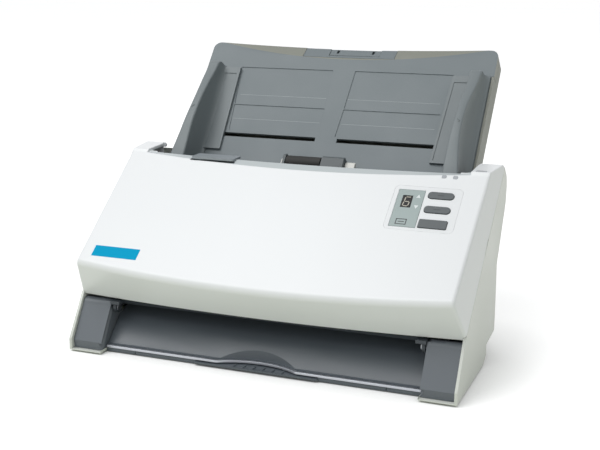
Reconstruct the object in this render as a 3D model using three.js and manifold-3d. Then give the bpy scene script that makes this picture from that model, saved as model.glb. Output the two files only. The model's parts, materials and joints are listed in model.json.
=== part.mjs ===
// Sheet-fed document scanner with a front cover that opens forward on a hinge.
// X runs to the right, Y to the back and Z up. Lengths are millimetres.
// The outline of the case is drawn from the front foot of the side panels, and the
// finished group is moved so that its origin is the bottom centre of its box.

import * as THREE from 'three';
import { mergeVertices } from 'three/addons/utils/BufferGeometryUtils.js';
import Module from 'manifold-3d';

const wasm = await Module();
wasm.setup();

// Case and side panels
const bodyHalfWidth = 159;
const panelDepth = 148.8;
const panelHeight = 146;
const panelWall = 2.2;
const caseWall = 2.5;
const floorWall = 2;
const footRise = 1.2;
const seamFrontY = 19;
const seamFrontZ = 44;
const seamRearInset = 11.8;
const seamRearY = panelDepth - seamRearInset;
const seamRearZ = 147.6;
const seamGap = 0.4;
const partGap = 0.4;
const turnedGap = 0.3;
const overrun = 5;
const roundSteps = 3;
const cornerSteps = 7;
const shaftSides = 12;
const rollerSides = 18;

// Outline of the side panel below the seam, as shares of its depth and height
const panelOutlineShares = [
  [-0.0175, 0], [0.563, 0], [0.629, 0.036], [0.627, 0.093], [0.821, 0.11], [0.8226, 0.225],
  [0.818, 0.487], [0.993, 0.796], [1, 0.884], [0.985, 0.945],
];
const panelFrontShares = [[0.0269, 0.1288], [-0.016, 0.0637]];

// Rear tub, rear cover and feet
const tubInset = 29;
const tubHalfWidth = bodyHalfWidth - tubInset;
const tubWall = 2.5;
const tubRearInset = 3.8;
const tubRearY = panelDepth - tubRearInset;
const tubFrontY = 70;
const tubHeight = 19;
const rearKneeZ = 62;
const ventCount = 9;
const ventPitch = 9;
const ventWidth = 3.2;
const ventLength = 16;
const footRadius = 6;
const footThickness = 2.2;
const frontFootInset = 19;
const frontFootX = bodyHalfWidth - frontFootInset;
const frontFootY = 14;
const rearFootInset = 18;
const rearFootX = tubHalfWidth - rearFootInset;
const rearFootSetback = 11;
const rearFootY = tubRearY - rearFootSetback;

// Paper path: a plane that climbs to the back, with the guide slots at its origin
const pathAngle = THREE.MathUtils.degToRad(49.2);
const pathSetback = 13.7;
const pathOriginY = panelDepth + pathSetback;
const pathOriginZ = 157.9;
const paperGap = 1.6;

// Cover: crease, upper edge and lower edge at the two ends, and how far they bow
const lidFrontY = 2.4;
const lidFrontZ = 73.8;
const lidRearInset = 35.3;
const lidRearY = seamRearY - lidRearInset;
const lidRearZ = 147.5;
const lidLowY = 21;
const lidLowZ = 42;
const lidBowY = 7.8;
const lidBowZ = 5.8;
const lidLowBowY = 5.6;
const lidLowBowZ = 1.4;
const lidStraightEnd = 5;
const lidBowHalfSpan = bodyHalfWidth - lidStraightEnd;
const lidWall = 2.6;
const lidEdgeDepth = 6;
const lidEdgeDrop = 1;
const lidRimBowY = 5.8;
const lidRimBowZ = 1.1;
const lidRearDrop = 22;
const lidSideDraft = THREE.MathUtils.degToRad(10.5);
const creaseRadius = 5;
const lidStations = 16;
const earLength = 19.4;
const earInnerX = bodyHalfWidth - earLength;
const earSlant = 3;
const earSetback = 1.3;
const earFrontY = lidRearY + earSetback;
const earFrontZ = 149;
const earRearInset = 2.6;
const earRearY = seamRearY - earRearInset;
const earTopZ = 150;
const earSlotLength = 9;
const earSlotWidth = 1.6;
const earSlotDepth = 1.2;

// Cover hinge and end columns
const hingeY = 22.5;
const hingeZ = 33.5;
const hingeLugRadius = 4.8;
const hingePinRadius = 2;
const hingeBoreGap = 0.35;
const hingePinLength = 17;
const lugBarLength = 8;
const lugBarFrontY = 16;
const lugBarLowZ = 37;
const lugBarHighZ = 39.6;
const lugWebDrop = 7;
const columnWidth = 28;
const columnInnerX = bodyHalfWidth - columnWidth;
const columnCapRadius = 6;
const columnRearY = 34;
const columnFaceY = 0.3;
const columnFaceZ = 9;
const columnToeY = 1.2;
const columnChamfer = 3;
const columnWall = 2.4;
const columnSeatWall = 0.9;

// Output tray, its silver strip and the pull-out extension
const trayEndGap = 0.6;
const trayHalfWidth = columnInnerX - trayEndGap;
const trayFrontY = 9.6;
const trayFrontZ = 5.6;
const trayCrestY = 28.5;
const trayCrestZ = 24.4;
const trayWall = 2;
const trayRibCount = 5;
const trayRibPitch = 44;
const trayRibWidth = 1.8;
const trayJoinS = -164;
const scoopHalfWidth = 33;
const scoopDepth = 8.4;
const stripFrontY = 6.6;
const stripWidth = 2.7;
const stripThickness = 1.6;
const stripRise = 4.1;
const drawerInset = 27;
const drawerHalfWidth = columnInnerX - drawerInset;
const drawerDepth = 95;
const drawerThickness = 1.3;
const drawerRise = 1.5;
const drawerFrontY = 13.5;
const gripHalfWidth = 51;
const gripFrontY = 4.5;
const gripRibCount = 6;
const gripRibWidth = 1;
const gripRibPitch = 8;
const gripRibHeight = 0.6;
const gripCentreX = 2;
const gripCorner = 1.5;

// Chute, its rear half, the extension and the stop flap, measured along the path plane
const chuteOverhang = 2.2;
const chuteHalfWidth = columnInnerX + chuteOverhang;
const chuteTopS = 96.2;
const chuteBottomS = -40;
const chuteFrontDepth = 9;
const chuteDepth = 20;
const chuteCornerRadius = 6.5;
const chuteWall = 2.2;
const chuteRimWidth = 1.9;
const chuteRimTopS = 69.3;
const crescentMidS = 81.7;
const crescentEndS = 93.3;
const crescentInset = 22.2;
const crescentEndX = chuteHalfWidth - crescentInset;
const crescentDepth = 5;
const slotStart = 9.8;
const slotInset = 27.7;
const slotReach = chuteHalfWidth - slotInset;
const slotWidth = 4;
const slotCentreS = -2.6;
const centreStripLow = 6.4;
const centreStripHigh = 9.4;
const panelTopS = 69.6;
const panelMidS = 30;
const panelTopInset = 34.2;
const panelTopX = chuteHalfWidth - panelTopInset;
const panelMidInset = 38.4;
const panelMidX = chuteHalfWidth - panelMidInset;
const panelLowInset = 40.7;
const panelLowX = chuteHalfWidth - panelLowInset;
const panelSink = 0.6;
const panelLine = 0.9;
const pickWindowHalf = 21;
const pickWindowTopS = -20;
const extensionHalfWidth = 42.6;
const extensionHeadS = 84;
const extensionLowS = 13;
const extensionThickness = 2.2;
const flapCentreX = 4.6;
const flapHalfWidth = 23.4;
const flapLength = 9;
const flapThickness = 2;
const flapSlotPitch = 33;
const flapSlotWidth = 2.2;
const flapSlotLength = 4.4;

// Paper guides with rack and pinion
const guidePlateLowInset = 38.5;
const guidePlateTopInset = 34.6;
const guidePlateRise = 2.4;
const guidePlateLowS = -19.2;
const guidePlateTopS = 67.4;
const guideLugInset = 36.2;
const guideLugInnerX = chuteHalfWidth - guideLugInset;
const guideLugLength = 7;
const guideLugGap = 0.4;
const guidePocketWall = 2.2;
const finFootInset = 2.7;
const finSteps = 4;

// The fin at places along the slope: its height, and how far the inner and outer edge of its
// crest and its inner foot stand in from the side of the chute
const finRows = [
  [-37.5, 26.5, 19.9, 7.2, 23.2], [-28, 27.3, 19.8, 8.6, 24], [-18, 28.2, 19.6, 9.9, 24.6],
  [-8, 28.8, 19.4, 10.8, 25], [2, 28.2, 19.2, 11.3, 25.2], [12, 26.9, 18.9, 11.5, 25.2],
  [22, 25, 18.6, 11.3, 25.2], [32, 22.4, 18.2, 10.6, 24.8], [42, 19.3, 17.8, 9.5, 24.2],
  [52, 16.1, 17.7, 8.6, 23.2], [60, 13.9, 17.8, 8, 22.2], [65, 12.2, 17.9, 7.7, 21.6],
  [67.6, 9.4, 17.9, 7.6, 20.8], [69, 4, 17.6, 7.8, 19.7],
];
const rackDepth = 3;
const rackTopH = -2.8;
const rackHeight = 2.8;
const rackOverlap = 8;
const guideGearModule = 1;
const guideGearTeeth = 14;
const guideAxleRadius = 1.6;

// Rollers and their places along the path plane
const pickS = -31;
const pickRadius = 9;
const pickHalfLength = 13;
const pickRise = 0.6;
const pickAxleReach = 20.4;
const pickArmInnerX = 18.2;
const pickArmRadius = 4.8;
const feedS = -96;
const feedRadius = 10;
const rollerRise = 0.4;
const tyreInnerX = 18;
const tyreLength = 32;
const exitS = -157;
const exitRadius = 8;
const axleRadius = 3;
const axleEnd = 12;
const axleReach = columnInnerX + axleEnd;
const hubRadius = 6;
const windowMargin = 1.5;
const nipGap = 0.4;
const pinchRadius = 5.5;
const pinchAxleRadius = 1.4;
const separationRadius = 6;
const separationLeftX = -25.6;
const separationRightX = 5.2;
const holderLeftX = -28.6;
const holderRightX = 25.6;
const holderArm = 2.4;
const holderRise = 12.4;
const holderLowRise = 1.9;
const holderBackS = -49.4;
const holderBridgeS = -40.4;
const holderFrontS = -24.5;
const clipWidth = 8.4;
const clipSmallWidth = 2.4;
const clipLowS = -34;
const clipHighS = -26.5;
const clipLowH = 3.4;
const clipHighH = 8;
const clipBevel = 2;

// Image sensors
const sensorS = -124;
const sensorInset = 17;
const sensorHalfLength = columnInnerX - sensorInset;
const sensorWidth = 19;
const sensorDepth = 12.5;
const glassWidth = 15;
const glassInset = 2.5;
const glassHalfLength = sensorHalfLength - glassInset;
const glassThickness = 1.8;

// Lower guide slab, frame plates, gears, motor and belt
const guideSlabInset = 9;
const guideSlabHalf = columnInnerX - guideSlabInset;
const guideSlabOutset = 7.4;
const guideSlabWide = columnInnerX + guideSlabOutset;
const guideSlabTopS = -42;
const guideSlabStepS = -92;
const guideSlabWall = 2.2;
const plateOffset = 8;
const plateInnerX = columnInnerX + plateOffset;
const plateThickness = 2;
const hubLength = 3;
const gearModule = 1;
const gearWidth = 5;
const gearGap = 0.8;
const rollerGearTeeth = 24;
const idlerTeeth = 38;
const pinionTeeth = 12;
const idlerPinRadius = 2.4;
const motorRadius = 11.5;
const motorLength = 22;
const motorAngle = THREE.MathUtils.degToRad(-52);
const motorShaftRadius = 1.5;
const beltWidth = 4;
const beltThickness = 1.2;
const pulleyRadius = 4.2;

// Main board and the sockets on it
const boardHalfWidth = 62;
const boardFrontY = 92;
const boardRise = 3;
const boardThickness = 1.6;
const bossRadius = 2.6;
const powerX = 52;
const powerWidth = 9;
const usbX = 30;
const usbWidth = 12;
const switchX = -48;
const switchWidth = 19;
const socketHeight = 10.5;
const socketDepth = 12;
const socketInset = 0.6;
const switchTilt = THREE.MathUtils.degToRad(5);
const rockerReach = 2.4;

// Cover inner frame, latch and release lever
const frameEndGap = 1.6;
const frameHalfWidth = columnInnerX - frameEndGap;
const frameWall = 2.2;
const frameFrontY = 25.4;
const frameFrontZ = 41.4;
const frameLowY = 31;
const frameLowZ = 33.6;
const frameExitY = 46;
const frameExitZ = 33.4;
const frameExitS = -163;
const deckEndS = -51;
const deckSetback = 1.7;
const deckRearY = lidRearY + deckSetback;
const deckRearZ = 140.6;
const leverInset = 62.8;
const leverLeftX = leverInset - bodyHalfWidth;
const leverLength = 38.8;
const leverRightX = leverLeftX + leverLength;
const leverThickness = 1.8;
const leverOverlap = 5.3;
const leverFrontY = lidRearY - leverOverlap;
const leverDepth = 16.1;
const leverRearY = leverFrontY + leverDepth;
const leverLowZ = 144.6;
const leverCorner = 2;
const leverNeckInset = 5.2;
const leverSlotY = leverFrontY - turnedGap;
const latchS = -66;
const latchH = 14;
const latchRodRadius = 2;
const hookEndGap = 0.6;
const hookInnerX = columnInnerX + hookEndGap;
const hookThickness = 3;
const hookReach = 22;
const hookWidth = 5;
const hookNose = 2.2;
const strikerRadius = 2;
const strikerLength = 7.4;

// Control panel on the cover, measured from the crease line up the slope
const bezelInset = 20.6;
const bezelLength = 53.4;
const bezelRightX = bodyHalfWidth - bezelInset;
const bezelLeftX = bezelRightX - bezelLength;
const bezelLowS = 62.6;
const bezelHighS = 106.6;
const bezelThickness = 1;
const bezelCorner = 4;
const labelInset = 3.8;
const labelLength = 20.5;
const labelLeftX = bezelLeftX + labelInset;
const labelRightX = labelLeftX + labelLength;
const labelLowS = 65.6;
const labelHighS = 102.5;
const labelSink = 0.5;
const windowInset = 4.2;
const windowLength = 8;
const windowLeftX = labelLeftX + windowInset;
const windowRightX = windowLeftX + windowLength;
const windowLowS = 84.6;
const windowHighS = 96.9;
const buttonInset = 27.2;
const buttonLeftX = bezelLeftX + buttonInset;
const buttonLength = 20;
const buttonWidth = 6.4;
const upButtonS = 98.4;
const downButtonS = 84.2;
const scanInset = 26.2;
const scanLeftX = bezelLeftX + scanInset;
const scanLength = 21.4;
const scanWidth = 8;
const scanButtonS = 70;
const buttonRise = 0.8;
const buttonGap = 0.35;
const buttonStem = 2;
const buttonFlange = 0.8;
const buttonTravel = 0.8;
const lampInset = 33.3;
const lampLeftX = bezelLeftX + lampInset;
const lampPitch = 8.9;
const lampLength = 3.6;
const lampWidth = 3.2;
const lampS = 118.4;
const lampDepth = 3;
const panelBoardDrop = 3.4;
const panelBoardThickness = 1.6;

const colours = {
  white: [0xf3f5f6, 0.25, 0], rearGrey: [0xc9ccca, 0.45, 0], chute: [0x7c858a, 0.5, 0],
  column: [0x62686e, 0.5, 0], tray: [0x4b5257, 0.45, 0], silver: [0xc4c8ca, 0.3, 0.6],
  steel: [0xb4b8bb, 0.35, 0.9], rubber: [0x2a2724, 0.85, 0], dark: [0x2e3236, 0.6, 0],
  board: [0x1f5c3a, 0.6, 0], glass: [0x9fb4bb, 0.1, 0], label: [0xa5b2b2, 0.4, 0],
  display: [0x15181a, 0.15, 0], button: [0x6e7174, 0.4, 0], nylon: [0xe6e2d6, 0.5, 0],
  clip: [0xf0f0ea, 0.4, 0], lamp: [0xa8adb0, 0.3, 0],
};

// Solids are kept as plain geometries, and booleans turn them into closed solids and back

function toSolid(geometry) {
  const bare = geometry.clone();
  for (const name of Object.keys(bare.attributes)) {
    if (name !== 'position') bare.deleteAttribute(name);
  }
  const merged = mergeVertices(bare);
  return new wasm.Manifold(new wasm.Mesh({
    numProp: 3,
    vertProperties: new Float32Array(merged.attributes.position.array),
    triVerts: new Uint32Array(merged.index.array),
  }));
}

function toGeometry(solid) {
  const mesh = solid.getMesh();
  const geometry = new THREE.BufferGeometry();
  geometry.setAttribute('position', new THREE.BufferAttribute(new Float32Array(mesh.vertProperties), 3));
  geometry.setIndex(new THREE.BufferAttribute(new Uint32Array(mesh.triVerts), 1));
  return geometry;
}

function cut(base, ...tools) {
  return toGeometry(tools.reduce((solid, tool) => solid.subtract(toSolid(tool)), toSolid(base)));
}

function join(base, ...others) {
  return toGeometry(others.reduce((solid, other) => solid.add(toSolid(other)), toSolid(base)));
}

function common(base, other) {
  return toGeometry(toSolid(base).intersect(toSolid(other)));
}

function box(x0, x1, y0, y1, z0, z1) {
  const geometry = new THREE.BoxGeometry(x1 - x0, y1 - y0, z1 - z0);
  return geometry.translate((x0 + x1) / 2, (y0 + y1) / 2, (z0 + z1) / 2);
}

function shapeOf(points) {
  return new THREE.Shape(points.map(([a, b]) => new THREE.Vector2(a, b)));
}

function extrude(shape, depth, curveSegments = 4) {
  return new THREE.ExtrudeGeometry(shape, { depth, bevelEnabled: false, curveSegments });
}

// A prism along X of an outline in the YZ plane
function prism(points, x0, x1) {
  const shape = points instanceof THREE.Shape ? points : shapeOf(points);
  const turn = new THREE.Matrix4().set(0, 0, 1, x0, 1, 0, 0, 0, 0, 1, 0, 0, 0, 0, 0, 1);
  return extrude(shape, x1 - x0).applyMatrix4(turn);
}

// A slab along Z of an outline in the XY plane
function slab(points, z0, z1, curveSegments) {
  const shape = points instanceof THREE.Shape ? points : shapeOf(points);
  return extrude(shape, z1 - z0, curveSegments).translate(0, 0, z0);
}

function rodX(radius, x0, x1, y, z, sides = shaftSides) {
  const geometry = new THREE.CylinderGeometry(radius, radius, x1 - x0, sides);
  return geometry.rotateZ(Math.PI / 2).translate((x0 + x1) / 2, y, z);
}

function rodZ(radius, x, y, z0, z1, sides = shaftSides) {
  const geometry = new THREE.CylinderGeometry(radius, radius, z1 - z0, sides);
  return geometry.rotateX(Math.PI / 2).translate(x, y, (z0 + z1) / 2);
}

// A turned piece on an axis along X, from pairs of radius and X
function turnedX(profile, y, z, sides = rollerSides) {
  const points = profile.map(([radius, x]) => new THREE.Vector2(radius, x));
  return new THREE.LatheGeometry(points, sides).rotateZ(-Math.PI / 2).translate(0, y, z);
}

function roundedRectangle(x0, x1, y0, y1, radius) {
  const shape = new THREE.Shape();
  shape.moveTo(x0 + radius, y0);
  shape.lineTo(x1 - radius, y0);
  shape.absarc(x1 - radius, y0 + radius, radius, -Math.PI / 2, 0);
  shape.lineTo(x1, y1 - radius);
  shape.absarc(x1 - radius, y1 - radius, radius, 0, Math.PI / 2);
  shape.lineTo(x0 + radius, y1);
  shape.absarc(x0 + radius, y1 - radius, radius, Math.PI / 2, Math.PI);
  shape.lineTo(x0, y0 + radius);
  shape.absarc(x0 + radius, y0 + radius, radius, Math.PI, Math.PI * 1.5);
  return shape;
}

function signedArea(ring) {
  return ring.reduce((sum, [a, b], i) => {
    const [c, d] = ring[(i + 1) % ring.length];
    return sum + (a * d - c * b) / 2;
  }, 0);
}

// A body through rings of YZ points that stand at rising X places
function loft(xs, ringAt) {
  const rings = xs.map((x) => {
    const ring = ringAt(x);
    return signedArea(ring) < 0 ? ring.slice().reverse() : ring;
  });
  const count = rings[0].length;
  const positions = rings.flatMap((ring, i) => ring.flatMap(([y, z]) => [xs[i], y, z]));
  const index = [];
  for (let i = 0; i < rings.length - 1; i += 1) {
    for (let j = 0; j < count; j += 1) {
      const here = i * count + j;
      const next = i * count + (j + 1) % count;
      index.push(here, next, next + count, here, next + count, here + count);
    }
  }
  const last = (rings.length - 1) * count;
  const capOf = (ring) => THREE.ShapeUtils.triangulateShape(ring.map(([y, z]) => new THREE.Vector2(y, z)),
      []);
  capOf(rings[0]).forEach(([a, b, c]) => index.push(a, c, b));
  capOf(rings[rings.length - 1]).forEach(([a, b, c]) => index.push(last + a, last + b, last + c));
  const geometry = new THREE.BufferGeometry();
  geometry.setAttribute('position', new THREE.Float32BufferAttribute(positions, 3));
  geometry.setIndex(index);
  return geometry;
}

function stationsAcross(x0, x1, count) {
  return Array.from({ length: count + 1 }, (_, i) => x0 + (x1 - x0) * i / count);
}

// Moves every edge of an open outline to its left by a distance and joins them again
function offsetOutline(points, distance) {
  const edges = points.slice(1).map((end, i) => {
    const start = points[i];
    const length = Math.hypot(end[0] - start[0], end[1] - start[1]);
    const along = [(end[0] - start[0]) / length, (end[1] - start[1]) / length];
    const side = [-along[1] * distance, along[0] * distance];
    return { start: [start[0] + side[0], start[1] + side[1]], end: [end[0] + side[0], end[1] + side[1]],
        along };
  });
  const corners = edges.slice(1).map((edge, i) => {
    const before = edges[i];
    const cross = before.along[0] * edge.along[1] - before.along[1] * edge.along[0];
    const gap = [edge.start[0] - before.start[0], edge.start[1] - before.start[1]];
    const reach = (gap[0] * edge.along[1] - gap[1] * edge.along[0]) / cross;
    return [before.start[0] + before.along[0] * reach, before.start[1] + before.along[1] * reach];
  });
  return [edges[0].start, ...corners, edges[edges.length - 1].end];
}

// Replaces one corner of an outline with points on an arc that touches both edges
function filletPoints(before, corner, after, radius, steps) {
  const inward = new THREE.Vector2(before[0] - corner[0], before[1] - corner[1]).normalize();
  const outward = new THREE.Vector2(after[0] - corner[0], after[1] - corner[1]).normalize();
  const half = inward.angleTo(outward) / 2;
  const reach = radius / Math.tan(half);
  const middle = inward.clone().add(outward).normalize().multiplyScalar(radius / Math.sin(half));
  const centre = new THREE.Vector2(corner[0], corner[1]).add(middle);
  const start = new THREE.Vector2(corner[0], corner[1]).addScaledVector(inward, reach).sub(centre);
  const end = new THREE.Vector2(corner[0], corner[1]).addScaledVector(outward, reach).sub(centre);
  const sweep = Math.atan2(start.x * end.y - start.y * end.x, start.dot(end));
  return Array.from({ length: steps + 1 }, (_, i) => {
    const arm = start.clone().rotateAround(new THREE.Vector2(), sweep * i / steps);
    return [centre.x + arm.x, centre.y + arm.y];
  });
}

// Places on the path plane: s runs up the slope and h stands off the paper side
function pathPoint(s, h) {
  return [
    pathOriginY + s * Math.cos(pathAngle) - h * Math.sin(pathAngle),
    pathOriginZ + s * Math.sin(pathAngle) + h * Math.cos(pathAngle),
  ];
}

const pathMatrix = new THREE.Matrix4().makeRotationX(pathAngle).setPosition(0, pathOriginY, pathOriginZ);
const lidAngle = Math.atan2(lidRearZ - lidFrontZ, lidRearY - lidFrontY);
const lidMatrix = new THREE.Matrix4().makeRotationX(lidAngle).setPosition(0, lidFrontY, lidFrontZ);

function onLid(geometry) {
  return geometry.applyMatrix4(lidMatrix);
}

// Case

const caseFloorTop = footRise + floorWall;
const columnSeatZ = footRise + columnSeatWall;
const seamAngle = Math.atan2(seamRearZ - seamFrontZ, seamRearY - seamFrontY);

function panelPoints(shares) {
  return shares.map(([y, z]) => [y * panelDepth, footRise + z * panelHeight]);
}

// The seam line, moved square to itself by a distance above it
function seamPoint(alongShare, above) {
  const y = seamFrontY + (seamRearY - seamFrontY) * alongShare - above * Math.sin(seamAngle);
  const z = seamFrontZ + (seamRearZ - seamFrontZ) * alongShare + above * Math.cos(seamAngle);
  return [y, z];
}

function panelRearPoint(heightShareIndex, inward) {
  const [y, z] = panelPoints(panelOutlineShares)[heightShareIndex];
  return [y - inward, z];
}

function tubInnerOutline() {
  const top = footRise + tubHeight + overrun;
  return [
    [tubFrontY, caseFloorTop], [tubRearY - tubWall, caseFloorTop], [tubRearY - tubWall, top], [tubFrontY,
        top],
  ];
}

function drawerChannel() {
  const half = drawerHalfWidth + partGap;
  const rear = drawerFrontY + drawerDepth + partGap;
  return box(-half, half, -overrun, rear, footRise - overrun, caseFloorTop + overrun);
}

function lowerCase() {
  const outline = [
    ...panelPoints(panelOutlineShares), seamPoint(1, -seamGap), seamPoint(0, -seamGap),
        ...panelPoints(panelFrontShares),
  ];
  const outer = prism(outline, -bodyHalfWidth, bodyHalfWidth);
  const inside = bodyHalfWidth - panelWall;
  const [lowRear, highRear, topRear, shoulder, crown] = [4, 6, 7, 8, 9].map((i) => panelRearPoint(i,
      caseWall));
  const stepFront = panelRearPoint(2, caseWall);
  const hollow = prism([
    [-overrun * 2, caseFloorTop], [stepFront[0], caseFloorTop], [stepFront[0], lowRear[1] + caseWall],
    [lowRear[0], lowRear[1] + caseWall], highRear, topRear, shoulder, crown, [crown[0] - caseWall * 2,
        seamRearZ],
    [seamRearY - caseWall * 3, seamRearZ + overrun], [-overrun * 2, seamRearZ + overrun],
  ], -inside, inside);
  const tub = prism([
    [tubFrontY, footRise], [tubRearY, footRise], [tubRearY, footRise + tubHeight], [tubFrontY,
        footRise + tubHeight],
  ], -tubHalfWidth, tubHalfWidth);
  const tubHollow = prism(tubInnerOutline(), -tubHalfWidth + tubWall, tubHalfWidth - tubWall);
  const rearGate = box(
    -tubHalfWidth - partGap, tubHalfWidth + partGap, lowRear[0] - overrun, panelDepth + overrun,
    footRise + tubHeight, seamRearZ + overrun,
  );
  const chuteGate = box(
    -chuteHalfWidth - partGap, chuteHalfWidth + partGap, lowRear[0] - overrun, panelDepth + overrun,
    pathPoint(chuteBottomS, -chuteDepth)[1] - partGap, seamRearZ + overrun);
  const bayGate = box(-trayHalfWidth, trayHalfWidth, -overrun * 2, trayFrontY + trayWall,
    footRise - overrun, caseFloorTop + overrun);
  const columnSeats = [-1, 1].map((side) => {
    const [near, far] = [side * (columnInnerX - partGap), side * inside].sort((a, b) => a - b);
    return box(near, far, -overrun * 2, columnRearY + partGap, columnSeatZ, caseFloorTop + overrun);
  });
  const gates = [rearGate, chuteGate, bayGate, drawerChannel(), ...columnSeats];
  const shell = cut(join(cut(outer, hollow), tub), tubHollow, ...gates);
  const bosses = boardBossPlaces().map(([x, y]) => rodZ(bossRadius, x, y, caseFloorTop - floorWall / 2,
      boardBottomZ, 12));
  const [powerHole, usbHole, switchHole] = [[powerX, powerWidth], [usbX, usbWidth], [switchX, switchWidth]]
    .map(([x, width]) => socketHole(x, width));
  return cut(join(shell, ...bosses), powerHole, usbHole, switchHole);
}

const boardBottomZ = caseFloorTop + boardRise;
const boardTopZ = boardBottomZ + boardThickness;
const boardRearY = tubRearY - tubWall - partGap;

function boardBossPlaces() {
  const x = boardHalfWidth - bossRadius * 2;
  const rear = boardRearY - bossRadius * 2;
  const front = drawerFrontY + drawerDepth + bossRadius * 2;
  return [[-x, rear], [x, rear], [-x, front], [x, front]];
}

function socketHole(x, width) {
  const half = width / 2 + partGap;
  return box(x - half, x + half, tubRearY - tubWall - overrun, tubRearY + overrun,
    boardTopZ, boardTopZ + socketHeight + partGap * 2);
}

function rearCover() {
  const bottom = footRise + tubHeight + partGap;
  const [lowEdge, kneeEdge] = [5, 6].map((i) => panelRearPoint(i, -partGap));
  const topRear = pathPoint(chuteBottomS - partGap, -chuteDepth);
  const topFront = pathPoint(chuteBottomS - partGap, -chuteDepth + caseWall * 2);
  const outer = prism([
    [lowEdge[0], bottom], [tubRearY, bottom], [tubRearY, rearKneeZ], topRear, topFront, kneeEdge,
  ], -tubHalfWidth, tubHalfWidth);
  const hollow = prism([
    [lowEdge[0] - overrun, bottom - overrun], [tubRearY - tubWall, bottom - overrun],
    [tubRearY - tubWall, rearKneeZ], [topRear[0] - tubWall, topRear[1]],
    [topRear[0] - tubWall, topRear[1] + chuteDepth], [lowEdge[0] - overrun, topRear[1] + chuteDepth],
  ], -tubHalfWidth + tubWall, tubHalfWidth - tubWall);
  const vents = Array.from({ length: ventCount }, (_, i) => {
    const x = (i - (ventCount - 1) / 2) * ventPitch;
    const middle = (bottom + rearKneeZ) / 2;
    return box(x - ventWidth / 2, x + ventWidth / 2, tubRearY - tubWall - overrun, tubRearY + overrun,
      middle - ventLength / 2, middle + ventLength / 2);
  });
  return cut(outer, hollow, ...vents);
}

// Columns at both ends of the output bay, with the hinge bore in their round caps

function endColumn(side) {
  const outerX = bodyHalfWidth - panelWall - partGap;
  const faceTop = [hingeY - columnCapRadius * Math.cos(seamAngle / 2),
      hingeZ + columnCapRadius * Math.sin(seamAngle / 2)];
  const outline = [
    [columnToeY, columnSeatZ + turnedGap], [columnRearY, columnSeatZ + turnedGap],
    [columnRearY, hingeZ - columnCapRadius],
    [hingeY + columnCapRadius, hingeZ], [hingeY, hingeZ + columnCapRadius], faceTop, [columnFaceY,
        columnFaceZ],
  ];
  const body = prism(outline, columnInnerX, outerX);
  const cap = rodX(columnCapRadius, columnInnerX, outerX, hingeY, hingeZ, rollerSides);
  const pocket = prism([
    [columnToeY + columnWall * 3, caseFloorTop - overrun], [columnRearY + overrun, caseFloorTop - overrun],
    [columnRearY + overrun, hingeZ - columnCapRadius - columnWall * 2],
    [hingeY, hingeZ - columnCapRadius - columnWall],
  ], columnInnerX + columnWall, outerX - columnWall);
  const facet = slab([
    [columnInnerX - overrun, columnFaceY - overrun], [columnInnerX + columnChamfer, columnFaceY - overrun],
    [columnInnerX - overrun, columnFaceY + columnChamfer + overrun],
  ], -overrun, hingeZ + columnCapRadius + overrun);
  const tilt = new THREE.Matrix4().makeShear(0, 0, 0, 0, 0,
      (faceTop[0] - columnFaceY) / (faceTop[1] - columnFaceZ));
  const bore = rodX(hingePinRadius + hingeBoreGap, columnInnerX - overrun,
    columnInnerX + hingePinLength, hingeY, hingeZ);
  facet.applyMatrix4(tilt);
  const column = cut(join(body, cap), pocket, facet, bore);
  return side < 0 ? mirrorX(column) : column;
}

function mirrorX(geometry) {
  const copy = geometry.clone().scale(-1, 1, 1);
  const index = copy.index.array.slice();
  for (let i = 0; i < index.length; i += 3) [index[i], index[i + 1]] = [index[i + 1], index[i]];
  copy.setIndex(new THREE.BufferAttribute(index, 1));
  return copy;
}

// Output tray: a bent ramp from the lip to the lower paper guide, with ribs under it

function trayTop() {
  return [[trayFrontY, trayFrontZ], [trayCrestY, trayCrestZ], [frameExitY, trayCrestZ + 4 * paperGap],
      pathPoint(trayJoinS, 0)];
}

// The finger recess: an upright arc in plan that starts on a straight front edge
function recessArc(frontY) {
  const radius = (scoopHalfWidth ** 2 + scoopDepth ** 2) / (2 * scoopDepth);
  const sweep = Math.asin(scoopHalfWidth / radius);
  return { radius, sweep, centre: frontY + scoopDepth - radius };
}

function recessShape(frontY, farY, half) {
  const { radius, sweep, centre } = recessArc(frontY);
  const shape = new THREE.Shape();
  shape.moveTo(-half, farY);
  shape.lineTo(-half, frontY);
  shape.lineTo(-scoopHalfWidth, frontY);
  shape.absarc(0, centre, radius, Math.PI / 2 + sweep, Math.PI / 2 - sweep, true);
  shape.lineTo(half, frontY);
  shape.lineTo(half, farY);
  return shape;
}

function outputTray() {
  const top = trayTop();
  const under = offsetOutline(top, -trayWall);
  const sheet = prism([...top, ...under.slice().reverse()], -trayHalfWidth, trayHalfWidth);
  const low = caseFloorTop + turnedGap;
  const ribs = Array.from({ length: trayRibCount }, (_, i) => {
    const x = (i - (trayRibCount - 1) / 2) * trayRibPitch;
    const inner = top.map(([y, z]) => [y, z - trayWall / 2]);
    const last = inner[inner.length - 1];
    return prism([...inner, [last[0], low + trayWall * 2], [trayFrontY, low]], x - trayRibWidth / 2,
        x + trayRibWidth / 2);
  });
  const nose = box(-trayHalfWidth, trayHalfWidth, trayFrontY, trayFrontY + trayWall * 2, low,
      trayFrontZ + trayWall / 2);
  const nearRecess = scoopHalfWidth + trayWall;
  const behind = prism([...top.slice(0, 2), [trayCrestY, low], [trayFrontY, low]], -nearRecess, nearRecess);
  const band = cut(
    slab(recessShape(trayFrontY + trayWall, -overrun, nearRecess), low, trayCrestZ, cornerSteps * 2),
    slab(recessShape(trayFrontY, -overrun * 2, nearRecess + overrun), 0, trayCrestZ + overrun,
        cornerSteps * 2),
  );
  const recess = slab(recessShape(trayFrontY, -overrun, nearRecess), 0, trayCrestZ, cornerSteps * 2);
  return join(cut(join(sheet, nose, ...ribs), recess), common(band, behind));
}

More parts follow.
